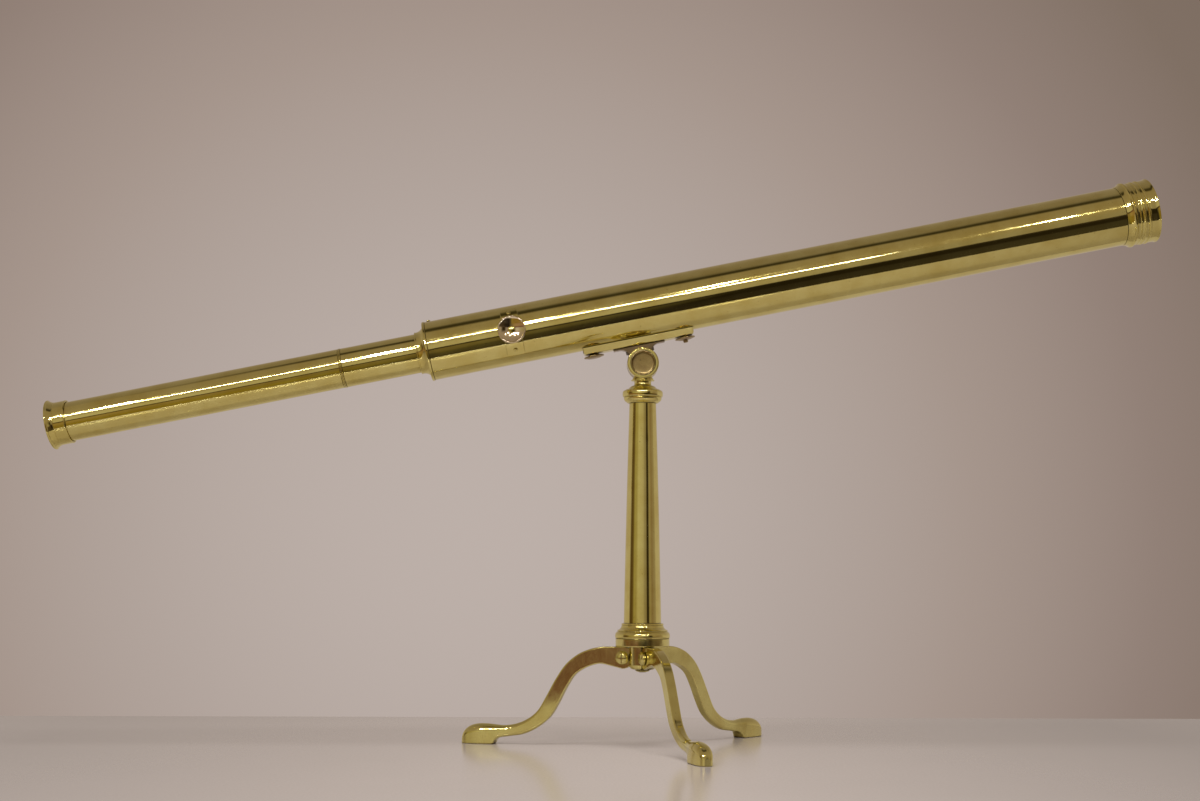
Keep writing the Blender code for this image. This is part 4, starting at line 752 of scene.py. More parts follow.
# %% [markdown]
# ## The head: bar, bracket and compass joint
#
# The tube rests in a short bar, hollowed on top to fit it. Two flat thumb screws
# come up through the bar into pads soldered under the tube, so the telescope lifts
# off for packing. Under the bar a bracket narrows to a round tongue between two
# cheeks: a stiff compass joint that holds the telescope at any height.
#
# The bar is lofted: the same rounded section, hollow on top, is repeated along it,
# and only its underside lifts at the two ends.

# %% Mounting bar
head_place = place_of(pivot, along, up)
underside = reach("mounting_bar", up, pivot)[0]
bar_low, bar_high = reach("mounting_bar", along, pivot)
bar_half = reach("mounting_bar", -knobwards, pivot)[1]
hollow = tube_radius + GAP


def bar_section(floor):
    """Hollow on top, sides that lean in to a flat underside: (across, up) points."""
    side_top = tube_rise - sqrt(hollow ** 2 - bar_half ** 2)
    left = [(-bar_half, side_top - 0.0004), (-bar_half + 0.0003, side_top + 0.0001)]
    curve = []
    for step in range(13):
        y = (bar_half - 0.0006) * (-1 + 2 * step / 12)
        curve.append((y, tube_rise - sqrt(hollow ** 2 - y ** 2)))
    right = [(-y, v) for y, v in reversed(left)]
    foot = [(bar_half, side_top - 0.0006), (bar_half - 0.0032, floor + 0.0007),
            (bar_half - 0.0035, floor + 0.0003),
            (bar_half - 0.0039, floor + 0.0001), (bar_half - 0.0044, floor)]
    foot += [(-y, v) for y, v in reversed(foot)]
    return left + curve + right + foot


bm = bmesh.new()
rounding = 0.0026
lifts = [(rounding * (1 - sin(radians(a))), rounding * (1 - cos(radians(a)))) for a in (90, 74, 58, 42,
                                                                                        26, 12, 0)]
stations = [(bar_low + inset, rise) for inset, rise in lifts]
stations += [(bar_low + (bar_high - bar_low) * share / 12, 0.0) for share in range(1, 12)]
stations += [(bar_high - inset, rise) for inset, rise in reversed(lifts)]
rows = [[bm.verts.new((u, y, v)) for y, v in bar_section(underside + rise)] for u, rise in stations]
bar = piece("mounting_bar_fine", lofted(bm, rows), head_place, "telescope_body", "mounting_bar",
            cast_brass)
cutters = []
for pad in ("tube_pad_rear", "tube_pad_front"):
    pad_low, pad_high = reach(pad, along, pivot)
    pad_floor = reach(pad, up, pivot)[0] - 0.0003
    pad_half = reach(pad, -knobwards, pivot)[1] + 0.0003
    inner, outer = (-0.1, pad_high + 0.0003) if pad == "tube_pad_rear" else (pad_low - 0.0003, 0.1)
    cutters.append(block((inner, -pad_half, pad_floor), (outer, pad_half, tube_rise)))
    stem = spun([(0, 0), (0.0025, 0), (0.0025, 0.03), (0, 0.03)], 40)
    bmesh.ops.translate(stem, verts=stem.verts, vec=((pad_low + pad_high) / 2, 0, underside - 0.01))
    cutters.append(stem)
carve(bar, cutters)
print("bar faces:", len(bar.data.polygons))

# %% Bracket


def softened(bm, amount, segments=2, angle=35):
    """Bevel every edge that turns more sharply than the angle."""
    edges = [edge for edge in bm.edges
             if len(edge.link_faces) == 2 and edge.calc_face_angle(0) > radians(angle)]
    bmesh.ops.bevel(bm, geom=edges, offset=amount, segments=segments, profile=0.5, affect='EDGES',
                    clamp_overlap=True)
    return bm


flange = underside - GAP
wing = flange - 0.0014
knuckle = 0.0156
bracket_end = reach("bracket", along, pivot)[1]
tongue_half = reach("bracket", -knobwards, pivot)[1]
sweep = arc((0.0200, wing - 0.0095), 0.0095, 90, 152, 18)
outline = [(bracket_end, flange), (bracket_end, wing)] + sweep
outline += arc((0, 0), knuckle, 30, -210, 72)
outline += [(-u, v) for u, v in reversed(sweep)]
outline += [(-bracket_end, wing), (-bracket_end, flange)]
bm = softened(slab(outline, -tongue_half, tongue_half), 0.0004)
# Painted shade: the bracket under the bar gets a darker copy of the brass, not a different metal.
shaded_bracket_brass = metal("shaded_bracket_brass", (0.34, 0.26, 0.15), (0.22, 0.16, 0.09), (0.05, 0.03, 0.015), 0.16,
               (700, 700, 2400), 4.0e-6, (80, 80, 80), 4.0e-5, 0.9)
piece("bracket_fine", bm, head_place, "telescope_body", "bracket", shaded_bracket_brass, flat_edges=60)

# %% Thumb screws


def thumb_screw(name, node, body, drop, nub):
    """A lens-shaped disc on a stem, hanging under the bar."""
    centre = (middle_of(node) - pivot).dot(along)
    foot = pivot + along * centre + up * underside
    tip = reach(node, up, foot)[1]
    outline = [(0, tip), (0.0018, tip), (0.0022, tip - 0.0004), (0.0022, -0.0003), (0.0046, -0.0003),
               (0.0052, -0.0005), (0.0052, -drop + 0.0002), (0.0058, -drop - 0.0001)]
    outline += [(0.0080, -drop - 0.0005), (0.0094, -drop - 0.0008)]
    outline += arc((0.0094, -drop - 0.00135), 0.0006, 80, -70, 6)
    outline += [(0.0082, -drop - 0.0022), (0.0060, -drop - 0.0029)]
    if nub:
        outline += [(nub + 0.0010, -drop - 0.0031), (nub, -drop - 0.0035), (nub, -drop - 0.0050),
                    (nub - 0.0006, -drop - 0.0057), (0, -drop - 0.0057)]
    else:
        outline += [(0.0030, -drop - 0.0030), (0, -drop - 0.0030)]
    return turned(name, outline, place_of(foot, along, up), body, node, dull_brass, sides=72)


for end, drop, nub in (("rear", 0.0012, 0.0), ("front", 0.0006, 0.0024)):
    node = "thumb_screw_" + end
    thumb_screw(node + "_fine", node, joints[end + "_thumb_screw_turn"]["child"], drop, nub)

# %% [markdown]
# ## The yoke
#
# A turned neck grows into a drum that lies across it. A slot splits the drum into
# two cheeks, and each cheek is bored for a dished cap. Boolean cuts repeat exactly
# the steps of the workshop: turn, slot, bore.

# %% Yoke
pivot_height = pivot.z
collar_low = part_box("column")[1].z + GAP
collar_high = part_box("column_collar")[1].z
neck = collar_high + GAP
spindle_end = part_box("yoke")[0].z
shoulder = spindle_end + 0.0088
cheek = reach("yoke", knobwards, pivot)[1]
drum = 0.0156
outline = [(0, spindle_end), (0.0030, spindle_end), (0.0030, shoulder), (0.0060, shoulder), (0.0060, neck),
           (0.0112, neck)]
outline += flowing([(0.0113, neck + 0.0002), (0.0098, neck + 0.0007), (0.0087, neck + 0.0016),
                    (0.0084, neck + 0.0030), (0.0085, neck + 0.0044)], 4)
outline += [(0.0086, neck + 0.0052), (0.0112, neck + 0.0054), (0.0116, neck + 0.0058),
            (0.0116, neck + 0.0074),
            (0.0111, neck + 0.0078), (0.0105, neck + 0.0080), (0.0105, pivot_height - 0.0085),
            (0, pivot_height - 0.0085)]
yoke = turned("yoke_fine", outline, column_place, "swivel_head", "yoke", cast_brass, sides=96)
lie = Matrix.Translation((0, 0, pivot_height)) @ Matrix.Rotation(pi / 2, 4, 'X')
ring = spun(rounded([(0, -cheek), (0.0148, -cheek, 0.0005), (drum, -cheek + 0.0008, 0.0005),
                     (drum, cheek - 0.0008, 0.0005), (0.0148, cheek, 0.0005), (0, cheek)], 0.0005, False),
            128)
carve(yoke, [shifted(ring, lie)], 'UNION')
cap_radius_fit = girth("pivot_pin", pivot, knobwards) + GAP
cap_seat = cheek - 0.0045
slot_half = tongue_half + GAP
slot = block((-0.04, -slot_half, pivot_height - drum - 0.0006), (0.04, slot_half, pivot_height + 0.04))
well = spun([(0, -cheek - 0.001), (cap_radius_fit, -cheek - 0.001), (cap_radius_fit, -cap_seat),
             (0.0043, -cap_seat),
             (0.0043, cap_seat), (cap_radius_fit, cap_seat), (cap_radius_fit, cheek + 0.001),
             (0, cheek + 0.001)], 128)
carve(yoke, [slot, shifted(well, lie)])
print("yoke faces:", len(yoke.data.polygons), "cheeks", round(2000 * cheek, 2), "mm apart")

# %% Dished caps


def dished_cap(name, node, axis):
    """The pivot's cap: a narrow bright rim round a deep saucer."""
    start, end = reach(node, axis, pivot)
    radius = girth(node, pivot, knobwards)
    seat_at = end - 0.0038
    outline = [(0, start), (0.0040, start), (0.0040, seat_at), (radius, seat_at),
               (radius, end - 0.0002, 0.0003)]
    outline += [(radius - 0.0004, end, 0.0002), (radius - 0.0010, end, 0.0003),
                (radius - 0.0014, end - 0.0007)]
    outline += flowing([(radius - 0.0016, end - 0.0014), (radius - 0.0022, end - 0.0019),
                        (radius * 0.5, end - 0.0021), (0, end - 0.0022)], 5)
    return turned(name, outline, place_of(pivot, skyward, axis), "swivel_head", node, dull_brass, sides=112)


dished_cap("pivot_pin_fine", "pivot_pin", knobwards)
dished_cap("pivot_nut_fine", "pivot_nut", -knobwards)

# %% [markdown]
# ## Column, collar and base moulding
#
# The column is a long cone, very slightly swollen so that it doesn't look pinched.
# The collar above is a bowl under a torus, and below it a bead and a hollow lead
# down to the ring. These three mouldings are what a turner calls the order of the
# stand, and their thin fillets are modelled one by one.

# %% Column
column_low, column_high = low.z, high.z
top_radius, foot_radius = 0.0133, 0.0184
steps = 60
outside = []
for step in range(steps + 1):
    share = step / steps
    radius = foot_radius + (top_radius - foot_radius) * share + 0.0003 * sin(pi * share)
    outside.append((radius, column_low + (column_high - column_low) * share))
bm = spun(outside + [(top_radius - 0.002, column_high), (foot_radius - 0.002, column_low)], 112)
dent_at = Vector((0.0035, -0.0150, 0.2995))
for vertex in bm.verts:
    away = Vector((vertex.co.x, vertex.co.y, 0))
    if away.length > 0.0125:
        turn = away.normalized()
        spot = Vector((turn.x * 0.8, turn.y * 0.8, vertex.co.z * 16.0)) + Vector((9.2, 1.1, 4.4))
        knock = 0.00020 * max(0.0, 1 - (vertex.co - dent_at).length / 0.006) ** 2
        vertex.co -= turn * (0.00012 * (0.5 + 0.5 * noise.noise(spot)) + knock)
piece("column_fine", bm, column_place, "stand", "column", tube_brass)

# %% Collar on the column
line = collar_low + 0.0060
outline = [(0.0094, collar_low - 0.0140), (0.0110, collar_low - 0.0140), (0.0110, collar_low),
           (0.0148, collar_low), (0.0152, collar_low + 0.0003)]
outline += flowing([(0.0157, collar_low + 0.0007), (0.0173, collar_low + 0.0018),
                    (0.0184, collar_low + 0.0034),
                    (0.0188, collar_low + 0.0050)], 4)
outline += [(0.0188, line - 0.0006), (0.0185, line - 0.0003), (0.0185, line), (0.0193, line + 0.0002)]
outline += flowing([(0.0198, line + 0.0008), (0.0200, line + 0.0026), (0.0199, line + 0.0046),
                    (0.0193, line + 0.0060), (0.0180, line + 0.0068)], 4)
outline += [(0.0172, line + 0.0071), (0.0170, line + 0.0075)]
outline += flowing([(0.0160, line + 0.0077), (0.0146, line + 0.0082), (0.0136, line + 0.0090),
                    (0.0131, line + 0.0096)], 3)
outline += [(0.0128, collar_high - 0.0005), (0.0122, collar_high), (0.0063, collar_high),
            (0.0063, shoulder),
            (0.0094, shoulder)]
turned("column_collar_fine", outline, column_place, "stand", "column_collar", lathe_brass, edge=0.00015,
       sides=128)

# %% Base moulding
ring_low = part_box("base_moulding")[0].z
ring_radius = 0.0269
moulding_top = column_low - GAP
outline = [(0.0043, ring_low), (ring_radius - 0.0006, ring_low), (ring_radius - 0.0001, ring_low + 0.0006)]
outline += flowing([(ring_radius, ring_low + 0.0014), (ring_radius - 0.0001, ring_low + 0.0034),
                    (ring_radius - 0.0008, ring_low + 0.0052), (ring_radius - 0.0019, ring_low + 0.0063)],
                   4)
outline += [(0.0246, ring_low + 0.0065), (0.0243, ring_low + 0.0067), (0.0243, ring_low + 0.0071),
            (0.0247, ring_low + 0.0073), (0.0247, ring_low + 0.0079), (0.0241, ring_low + 0.0081)]
outline += arc((0.0252, ring_low + 0.0126), 0.0046, 250, 184, 10)
outline += [(0.0202, ring_low + 0.0124), (0.0202, ring_low + 0.0127)]
outline += arc((0.0197, moulding_top - 0.0010), 0.0010, -75, 80, 8)
outline += [(0.0191, moulding_top), (0.0161, moulding_top), (0.0158, moulding_top + 0.0063),
            (0.0043, moulding_top + 0.0063)]
turned("base_moulding_fine", outline, column_place, "stand", "base_moulding", lathe_brass, edge=0.00015,
       sides=144)

# %% [markdown]
# ## Hub and folding legs
#
# Each leg ends in a fork that swings on a lug of the hub, held by a round-headed
# screw with a plain barrel nut behind. The legs are cast in the old cabriole shape:
# a knee, a long ankle and a slipper foot. A leg like that is easiest as a loft. Its
# ridge and its underside are two curves in the leg's own plane, and between them
# runs a rounded section that widens at the foot.

# %% Hub
hub_low, hub_high = (corner.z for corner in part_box("leg_hub"))
flange_low = 0.0970
outline = [(0.0043, hub_low), (0.0100, hub_low, 0.0008), (0.0122, hub_low + 0.0010, 0.0010),
           (0.0132, hub_low + 0.0034, 0.0012), (0.0132, flange_low), (0.0257, flange_low, 0.0004),
           (0.0264, flange_low + 0.0007, 0.0004), (0.0264, hub_high - 0.0003), (0.0261, hub_high),
           (0.0043, hub_high)]
hub = turned("leg_hub_fine", outline, column_place, "stand", "leg_hub", cast_brass, sides=128)
lug_radius, lug_half, fork_half, root = 0.0074, 0.0017, 0.0046, 0.0107
hinge_of = {}
for side in ("left", "front", "back"):
    joint = joints[side + "_leg_fold"]
    hinge_axis = Vector(joint["axis"])
    hinge_of[side] = place_of(Vector(joint["pos_m"]), hinge_axis.cross(skyward), skyward)
to_column = column_place.inverted()
pockets, lugs = [], []
for side, place in hinge_of.items():
    pocket = block((-root - 0.0005, -fork_half - 0.0005, -0.0130),
                   (0.0150, fork_half + 0.0005, root + 0.0005))
    pockets.append(shifted(pocket, to_column @ place))
    stadium = [(-root - 0.0017, -lug_radius)] + arc((0, 0), lug_radius, -90, 90, 40)
    lug = softened(slab(stadium + [(-root - 0.0017, lug_radius)], -lug_half, lug_half), 0.0002)
    lugs.append(shifted(lug, to_column @ place))
carve(hub, pockets)
carve(hub, lugs, 'UNION')
print("hub faces:", len(hub.data.polygons))

# %% Leg sections
hinge_radius = (Vector(joints["left_leg_fold"]["pos_m"]) - column_foot).to_2d().length
hinge_height = joints["left_leg_fold"]["pos_m"][2]
bends = [((0.0300, 0.0967), (0.0300, 0.0778), 0.0046, 0.0010, 0.0010),
         ((0.0410, 0.0963), (0.0405, 0.0799), 0.0046, 0.0012, 0.0011),
         ((0.0525, 0.0938), (0.0495, 0.0783), 0.0046, 0.0013, 0.0011),
         ((0.0645, 0.0885), (0.0590, 0.0743), 0.0046, 0.0013, 0.0011),
         ((0.0765, 0.0787), (0.0675, 0.0682), 0.0046, 0.0013, 0.0012),
         ((0.0865, 0.0645), (0.0755, 0.0562), 0.0046, 0.0014, 0.0012),
         ((0.0960, 0.0475), (0.0835, 0.0408), 0.0046, 0.0016, 0.0014),
         ((0.1045, 0.0337), (0.0920, 0.0275), 0.0046, 0.0022, 0.0018),
         ((0.1150, 0.0252), (0.1050, 0.0168), 0.0046, 0.0032, 0.0024),
         ((0.1270, 0.0202), (0.1190, 0.0103), 0.0046, 0.0042, 0.0030),
         ((0.1385, 0.0184), (0.1335, 0.0079), 0.0050, 0.0050, 0.0028),
         ((0.1465, 0.0188), (0.1435, 0.0064), 0.0060, 0.0060, 0.0022),
         ((0.1520, 0.0194), (0.1478, 0.0034), 0.0069, 0.0069, 0.0014),
         ((0.1570, 0.0197), (0.1505, 0.0000), 0.0075, 0.0075, 0.0010),
         ((0.1650, 0.0196), (0.1610, 0.0000), 0.0080, 0.0080, 0.0008),
         ((0.1725, 0.0180), (0.1705, 0.0000), 0.0077, 0.0077, 0.0008),
         ((0.1780, 0.0148), (0.1775, 0.0000), 0.0065, 0.0065, 0.0008),
         ((0.1812, 0.0108), (0.1811, 0.0000), 0.0047, 0.0047, 0.0008),
         ((0.1824, 0.0066), (0.1824, 0.0000), 0.0028, 0.0028, 0.0008)]
rows_of_numbers = [(a[0] - hinge_radius, a[1] - hinge_height, b[0] - hinge_radius, b[1] - hinge_height, w,
                    r, s)
                   for a, b, w, r, s in bends]


def smooth_rows(rows, steps):
    """Catmull-Rom through rows of numbers of any length."""
    ends = [rows[0]] + rows + [rows[-1]]
    result = []
    for index in range(1, len(ends) - 2):
        group = ends[index - 1:index + 3]
        for step in range(steps):
            t = step / steps
            result.append([0.5 * (2 * b + (c - a) * t + (2 * a - 5 * b + 4 * c - d) * t * t
                                  + (3 * b - a - 3 * c + d) * t ** 3) for a, b, c, d in zip(*group)])
    return result + [list(rows[-1])]


def leg_section(half, depth, upper, lower):
    """Rounded section: across, and down from the ridge."""
    upper = min(upper, half - 0.0001, 0.6 * depth)
    lower = min(lower, half, depth - upper - 0.0002)
    points = arc((half - upper, upper), upper, -90, 0, 9)
    points += arc((half - lower, depth - lower), lower, 0, 90, 5)
    mirrored = [(-across_leg, fall) for across_leg, fall in reversed(points)]
    return points + mirrored


def leg_mesh():
    rounds = []
    for angle in (6, 14, 22, 30, 38, 46, 54, 62, 70, 78, 86):
        out, rise = root * cos(radians(angle)), root * sin(radians(angle))
        rounds.append([-out, rise, -out, -rise, fork_half, 0.0006, 0.0006])
    knee = [[0.0, root, 0.0, -root, fork_half, 0.0006, 0.0006]] + [list(row) for row in rows_of_numbers]
    bm = bmesh.new()
    rings = []
    for top_x, top_z, low_x, low_z, half, upper, lower in rounds + smooth_rows(knee, 6):
        top = Vector((top_x, 0, top_z))
        bottom = Vector((low_x, 0, max(low_z, -hinge_height)))
        fall = bottom - top
        points = leg_section(half, fall.length, upper, lower)
        rings.append([bm.verts.new(top + fall.normalized() * drop + Vector((0, side, 0))) for side,
                      drop in points])
    return lofted(bm, rings)


# %% Legs, their screws and nuts
for side, place in hinge_of.items():
    body = side + "_leg"
    leg = piece("leg_" + side + "_fine", leg_mesh(), place, body, "leg_" + side, cast_brass)
    fork = block((-0.03, -lug_half - 0.0003, -0.03), (lug_radius + 0.0005, lug_half + 0.0003, 0.03))
    pin = spun([(0, -0.02), (0.0028, -0.02), (0.0028, 0.02), (0, 0.02)], 40)
    bmesh.ops.rotate(pin, verts=pin.verts, matrix=Matrix.Rotation(pi / 2, 3, 'X'))
    carve(leg, [fork, pin])
    hinge_at = place.translation
    outward = place.to_3x3().col[0]
    hinge_axis = place.to_3x3().col[1]
    for node, axis in (("leg_screw_" + side, hinge_axis), ("leg_nut_" + side, -hinge_axis)):
        start, end = reach(node, axis, hinge_at)
        head = end - 0.0050
        outline = [(0, start), (0.0025, start), (0.0025, head), (0.0060, head),
                   (0.0064, head + 0.0004, 0.0003),
                   (0.0064, head + 0.0017)]
        outline += flowing([(0.0063, head + 0.0025), (0.0055, head + 0.0037), (0.0040, head + 0.0046),
                            (0.0020, head + 0.00495), (0, head + 0.0050)], 4)
        rides = frame["nodes"][node]["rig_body"]
        made = turned(node + "_fine", outline, place_of(hinge_at, outward, axis), rides, node, cast_brass,
                      edge=0.0003, sides=72)
        carve(made, [block((-0.0005, -0.009, end - 0.0011), (0.0005, 0.009, end + 0.002))])
    print("leg", side, "faces:", len(leg.data.polygons))
nut_low, nut_high = (corner.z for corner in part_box("tie_nut"))
outline = [(0.0043, nut_low, 0.0003), (0.0058, nut_low, 0.0006), (0.0072, nut_low + 0.0012, 0.0006),
           (0.0072, nut_high - 0.0006, 0.0004), (0.0066, nut_high), (0.0043, nut_high)]
turned("tie_nut_fine", outline, column_place, "stand", "tie_nut", cast_brass, sides=72)

# %% [markdown]
# ## The pieces that stay as they are
#
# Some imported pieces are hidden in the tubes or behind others. Their shape is right
# already, so they only get a finish: steel for the rack and pinion, black paint
# for the light stop and the lens tube, dull brass for pads and washers.

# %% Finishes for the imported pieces
finishes = {"rod_plug": cast_brass, "tie_rod": screw_steel, "swivel_washer": dull_brass,
            "swivel_nut": screw_steel, "bracket_screw_rear": screw_steel,
            "bracket_screw_front": screw_steel,
            "tube_pad_rear": dull_brass, "tube_pad_front": dull_brass, "light_stop": inner_black,
            "guide_ring": dull_brass, "erector_tube": inner_black, "erector_lens_front": lens_glass,
            "erector_lens_rear": lens_glass, "field_lens": lens_glass, "rack": screw_steel,
            "pinion": screw_steel, "lens_spacer": screw_steel}
for node, look in finishes.items():
    frame["nodes"][node].data.materials[0] = look
shown = [name for name, thing in frame["nodes"].items() if not thing.hide_render]
print("packed pieces still shown:", sorted(shown))
print("without a finish:", sorted(set(shown) - set(finishes)))

# %% [markdown]
# ## Floor, lights and camera
#
# Polished brass has hardly a colour of its own: it shows the room. One long strip
# and a few small lamps light it, and the room that it mirrors has dark bands, because
# dark gaps draw the shape. The floor is a pale lacquered shelf with painted light: its
# colour is painted brighter near the middle and darker to each side. Its front part never
# shows in the brass, and the rest shows there in one even, darker tone: a painted shade.
#
# The room is drawn twice. What the brass mirrors is a stack of bands by direction,
# and what the camera sees behind the object is a soft wall with painted light on it:
# brightest in one direction straight behind the object, with a darker ring around that.

# %% Shelf
def shelf_with_painted_light():
    made, tree, surface, here = new_finish("shelf_lacquer_with_painted_light")
    cloud = texture(tree, "ShaderNodeTexNoise", here, Scale=3.0, Detail=5.0, Roughness=0.6).outputs["Fac"]
    peel = texture(tree, "ShaderNodeTexNoise", here, Scale=420.0, Detail=3.0).outputs["Fac"]
    tone = ramp(tree, cloud, [(0.3, (0.50, 0.465, 0.445)), (0.7, (0.53, 0.49, 0.47))])
    # Painted light: the shelf's colour is multiplied by a ramp along X, brightest near the middle and
    # darker to each side, in place of the lamps' own falloff.
    along_shelf = tree.nodes.new("ShaderNodeSeparateXYZ")
    tree.links.new(here, along_shelf.inputs["Vector"])
    place = summed(tree, summed(tree, along_shelf.outputs["X"], 0.5, 'MULTIPLY'), 0.5)
    ends = ramp(tree, place,
                [(0.0, 0.75), (0.215, 0.64), (0.335, 0.80), (0.44, 0.95), (0.53, 1.0), (0.64, 0.80),
                              (0.785, 0.50), (1.0, 0.70)])
    lit = tree.nodes.new("ShaderNodeMix")
    lit.data_type = 'RGBA'
    lit.blend_type = 'MULTIPLY'
    lit.inputs["Factor"].default_value = 1.0
    tree.links.new(tone, lit.inputs["A"])
    tree.links.new(ends, lit.inputs["B"])
    # Painted shade: mirrored rays see the shelf in one even tone, darker than the lit shelf.
    mirrored = tree.nodes.new("ShaderNodeLightPath").outputs["Is Glossy Ray"]
    shelf_shaded_for_reflections = blended(tree, mirrored, lit.outputs["Result"], (0.42, 0.385, 0.36))
    tree.links.new(shelf_shaded_for_reflections, surface.inputs["Base Color"])
    tree.links.new(ramp(tree, peel, [(0.3, 0.13), (0.7, 0.18)]), surface.inputs["Roughness"])
    tree.links.new(relief(tree, peel, 1.5e-6), surface.inputs["Normal"])
    return made


def stage_plane(name, low_corner, high_corner, look, height=0.0):
    bm = bmesh.new()
    bmesh.ops.create_grid(bm, x_segments=24, y_segments=24, size=0.5)
    spread = Vector(high_corner) - Vector(low_corner)
    middle = (Vector(high_corner) + Vector(low_corner)) / 2
    for vertex in bm.verts:
        vertex.co = Vector((middle.x + vertex.co.x * spread.x, middle.y + vertex.co.y * spread.y, height))
    mesh = bpy.data.meshes.new(name)
    bm.to_mesh(mesh)
    bm.free()
    mesh.materials.append(look)
    made = bpy.data.objects.new(name, mesh)
    bpy.context.scene.collection.objects.link(made)
    return made


shelf_look = shelf_with_painted_light()
shelf_back = column_foot.y + 0.367
stage_plane("shelf", (-2.6, -0.50), (2.6, shelf_back), shelf_look)
front_shelf = stage_plane("shelf_front", (-2.6, -2.6), (2.6, -0.50), shelf_look)
front_shelf.visible_glossy = False

# %% Room
world = bpy.data.worlds.new("room")
bpy.context.scene.world = world
world.use_nodes = True
tree = world.node_tree
background = tree.nodes["Background"]
direction = tree.nodes.new("ShaderNodeTexCoord").outputs["Generated"]
split = tree.nodes.new("ShaderNodeSeparateXYZ")
tree.links.new(direction, split.inputs["Vector"])


def remapped(value, from_low, from_high, easing='SMOOTHSTEP'):
    """Stretch part of a value to the range from 0 to 1."""
    made = tree.nodes.new("ShaderNodeMapRange")
    made.interpolation_type = easing
    made.inputs["From Min"].default_value = from_low
    made.inputs["From Max"].default_value = from_high
    tree.links.new(value, made.inputs["Value"])
    return made.outputs["Result"]


height = summed(tree, summed(tree, split.outputs["Z"], 1.0), 0.5, 'MULTIPLY')
sideways = summed(tree, summed(tree, split.outputs["X"], 1.0), 0.5, 'MULTIPLY')
level = ramp(tree, sideways,
             [(0.0, (0.09, 0.055, 0.02)), (0.035, (0.12, 0.075, 0.03)), (0.08, (0.34, 0.28, 0.13)),
                              (0.15, (0.34, 0.28, 0.15)), (0.24, (0.48, 0.42, 0.31)),
              (0.42, (0.45, 0.39, 0.31)),
                              (0.52, (0.42, 0.36, 0.28)), (0.60, (0.30, 0.25, 0.20)),
              (0.69, (0.26, 0.21, 0.16)),
                              (0.73, (0.03, 0.020, 0.008)), (0.80, (0.03, 0.020, 0.008)),
                              (0.85, (0.32, 0.26, 0.18)), (0.95, (0.24, 0.17, 0.12)),
              (1.0, (0.30, 0.24, 0.19))])
knees = ramp(tree, sideways,
             [(0.0, (0.20, 0.10, 0.05)), (0.10, (0.14, 0.070, 0.055)), (0.30, (0.155, 0.074, 0.058)),
                              (0.36, (0.08, 0.05, 0.025)), (0.46, (0.03, 0.02, 0.01)),
              (0.60, (0.02, 0.015, 0.01)),
                              (1.0, (0.12, 0.08, 0.05))])
lowest = ramp(tree, sideways,
              [(0.0, (0.25, 0.15, 0.07)), (0.25, (0.30, 0.19, 0.09)), (0.36, (0.33, 0.225, 0.09)),
                               (0.46, (0.20, 0.145, 0.06)), (0.53, (0.10, 0.080, 0.045)),
                               (0.575, (0.015, 0.011, 0.006)), (0.70, (0.02, 0.014, 0.008)),
               (1.0, (0.10, 0.07, 0.04))])
waist = blended(tree, remapped(split.outputs["Z"], -0.012, -0.034), level, knees)
below = ramp(tree, sideways,
             [(0.0, (0.24, 0.15, 0.04)), (0.36, (0.24, 0.155, 0.035)), (0.47, (0.24, 0.175, 0.035)),
                              (0.52, (0.07, 0.055, 0.030)), (0.58, (0.02, 0.015, 0.012)),
              (1.0, (0.10, 0.08, 0.05))])
ground = blended(tree, remapped(split.outputs["Z"], -0.26, -0.36), lowest, below)
people = blended(tree, remapped(split.outputs["Z"], -0.07, -0.13), waist, ground)
ceiling = ramp(tree, height,
               [(0.0, (0.20, 0.15, 0.10)), (0.72, (0.32, 0.25, 0.18)), (0.95, (0.27, 0.21, 0.16)),
                              (0.972, (0.04, 0.03, 0.015)), (0.988, (0.05, 0.04, 0.025)),
                (1.0, (0.22, 0.175, 0.15))])
wall = ramp(tree, height, [(0.0, (0.42, 0.36, 0.32)), (0.5, (0.46, 0.39, 0.345)), (0.8, (0.30, 0.24, 0.20)),
                           (1.0, (0.22, 0.175, 0.15))])
front = blended(tree, remapped(split.outputs["Z"], 0.14, 0.42), people, ceiling)
room = blended(tree, remapped(split.outputs["Y"], -0.12, 0.12), front, wall)
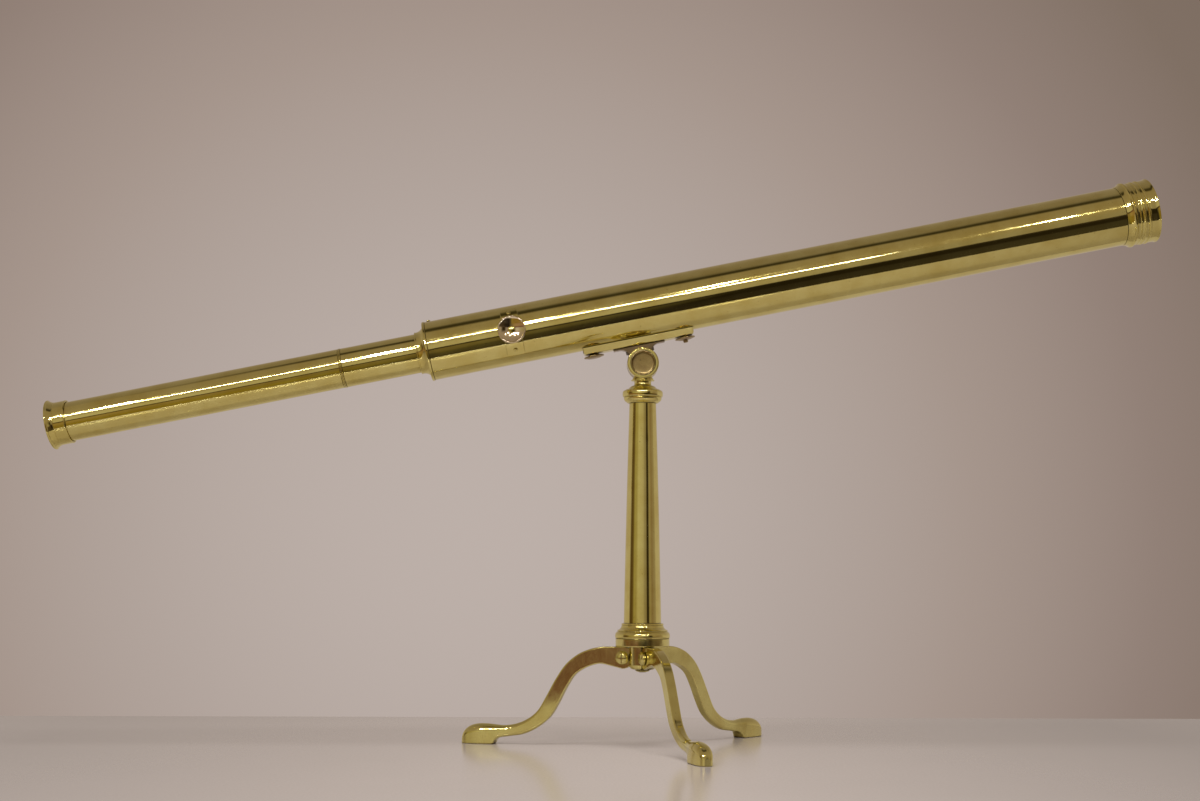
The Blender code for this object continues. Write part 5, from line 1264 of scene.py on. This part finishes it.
# Painted light on the wall the camera sees: brightest along one fixed direction behind the object, with a
# darker ring round it, like a pool of lamp light.
look_at = tree.nodes.new("ShaderNodeVectorMath")
look_at.operation = 'DOT_PRODUCT'
look_at.inputs[1].default_value = (-0.0576, 0.9978, 0.0330)
tree.links.new(direction, look_at.inputs[0])
fall = remapped(look_at.outputs["Value"], 0.55, 1.0, 'LINEAR')
backdrop_painted_light = ramp(tree, fall,
                [(0.0, (0.46, 0.395, 0.36)), (0.45, (0.40, 0.335, 0.295)), (0.70, (0.20, 0.150, 0.120)),
                             (0.77, (0.215, 0.162, 0.128)), (0.845, (0.285, 0.218, 0.185)),
                             (0.915, (0.378, 0.302, 0.262)), (0.96, (0.440, 0.368, 0.330)),
                             (1.0, (0.505, 0.432, 0.395))])
seen = tree.nodes.new("ShaderNodeLightPath").outputs["Is Camera Ray"]
tree.links.new(blended(tree, seen, room, backdrop_painted_light), background.inputs["Color"])


# %% Lights
def area_light(name, place, target, spread, watts, colour, shape='RECTANGLE'):
    data = bpy.data.lights.new(name, 'AREA')
    data.shape = shape
    data.size = spread[0]
    data.size_y = spread[1]
    data.energy = watts
    data.color = colour
    made = bpy.data.objects.new(name, data)
    bpy.context.scene.collection.objects.link(made)
    made.location = place
    made.rotation_euler = (Vector(target) - Vector(place)).to_track_quat('-Z', 'Y').to_euler()
    made.visible_camera = False
    return made


area_light("strip", (-0.55, -2.3, 1.46), (-0.35, 0, 0.40), (2.3, 0.045), 11.0, (0.88, 0.86, 1.0))
for index, (x, y,
            z) in enumerate([(-1.35, -2.0, 1.62), (-0.75, -2.2, 1.86), (0.1, -2.3, 1.95),
                             (0.95, -2.2, 1.80),
                                   (-0.30, -2.0, 1.55)]):
    area_light("spot_%d" % index, (x, y, z), (0, 0, 0.3), (0.08, 0.08), 3.0, (1.0, 0.93, 0.82), 'DISK')
fill = area_light("ceiling", (0.0, -0.35, 1.55), (0, -0.1, 0), (0.9, 0.6), 17.0, (1.0, 0.95, 0.92))
fill.visible_glossy = False

# %% Camera
camera_data = bpy.data.cameras.new("camera")
camera_data.lens = 52.5
camera_data.sensor_width = 36.0
camera = bpy.data.objects.new("camera", camera_data)
bpy.context.scene.collection.objects.link(camera)
camera.location = (column_foot.x - 0.060, column_foot.y - 1.722, 0.163)
aim = Matrix.Rotation(radians(-0.59), 4, 'Z') @ Matrix.Rotation(radians(90 + 5.80), 4, 'X')
camera.rotation_euler = (aim @ Matrix.Rotation(radians(0.20), 4, 'Z')).to_euler()
bpy.context.scene.camera = camera
bpy.context.scene.view_settings.view_transform = 'Standard'
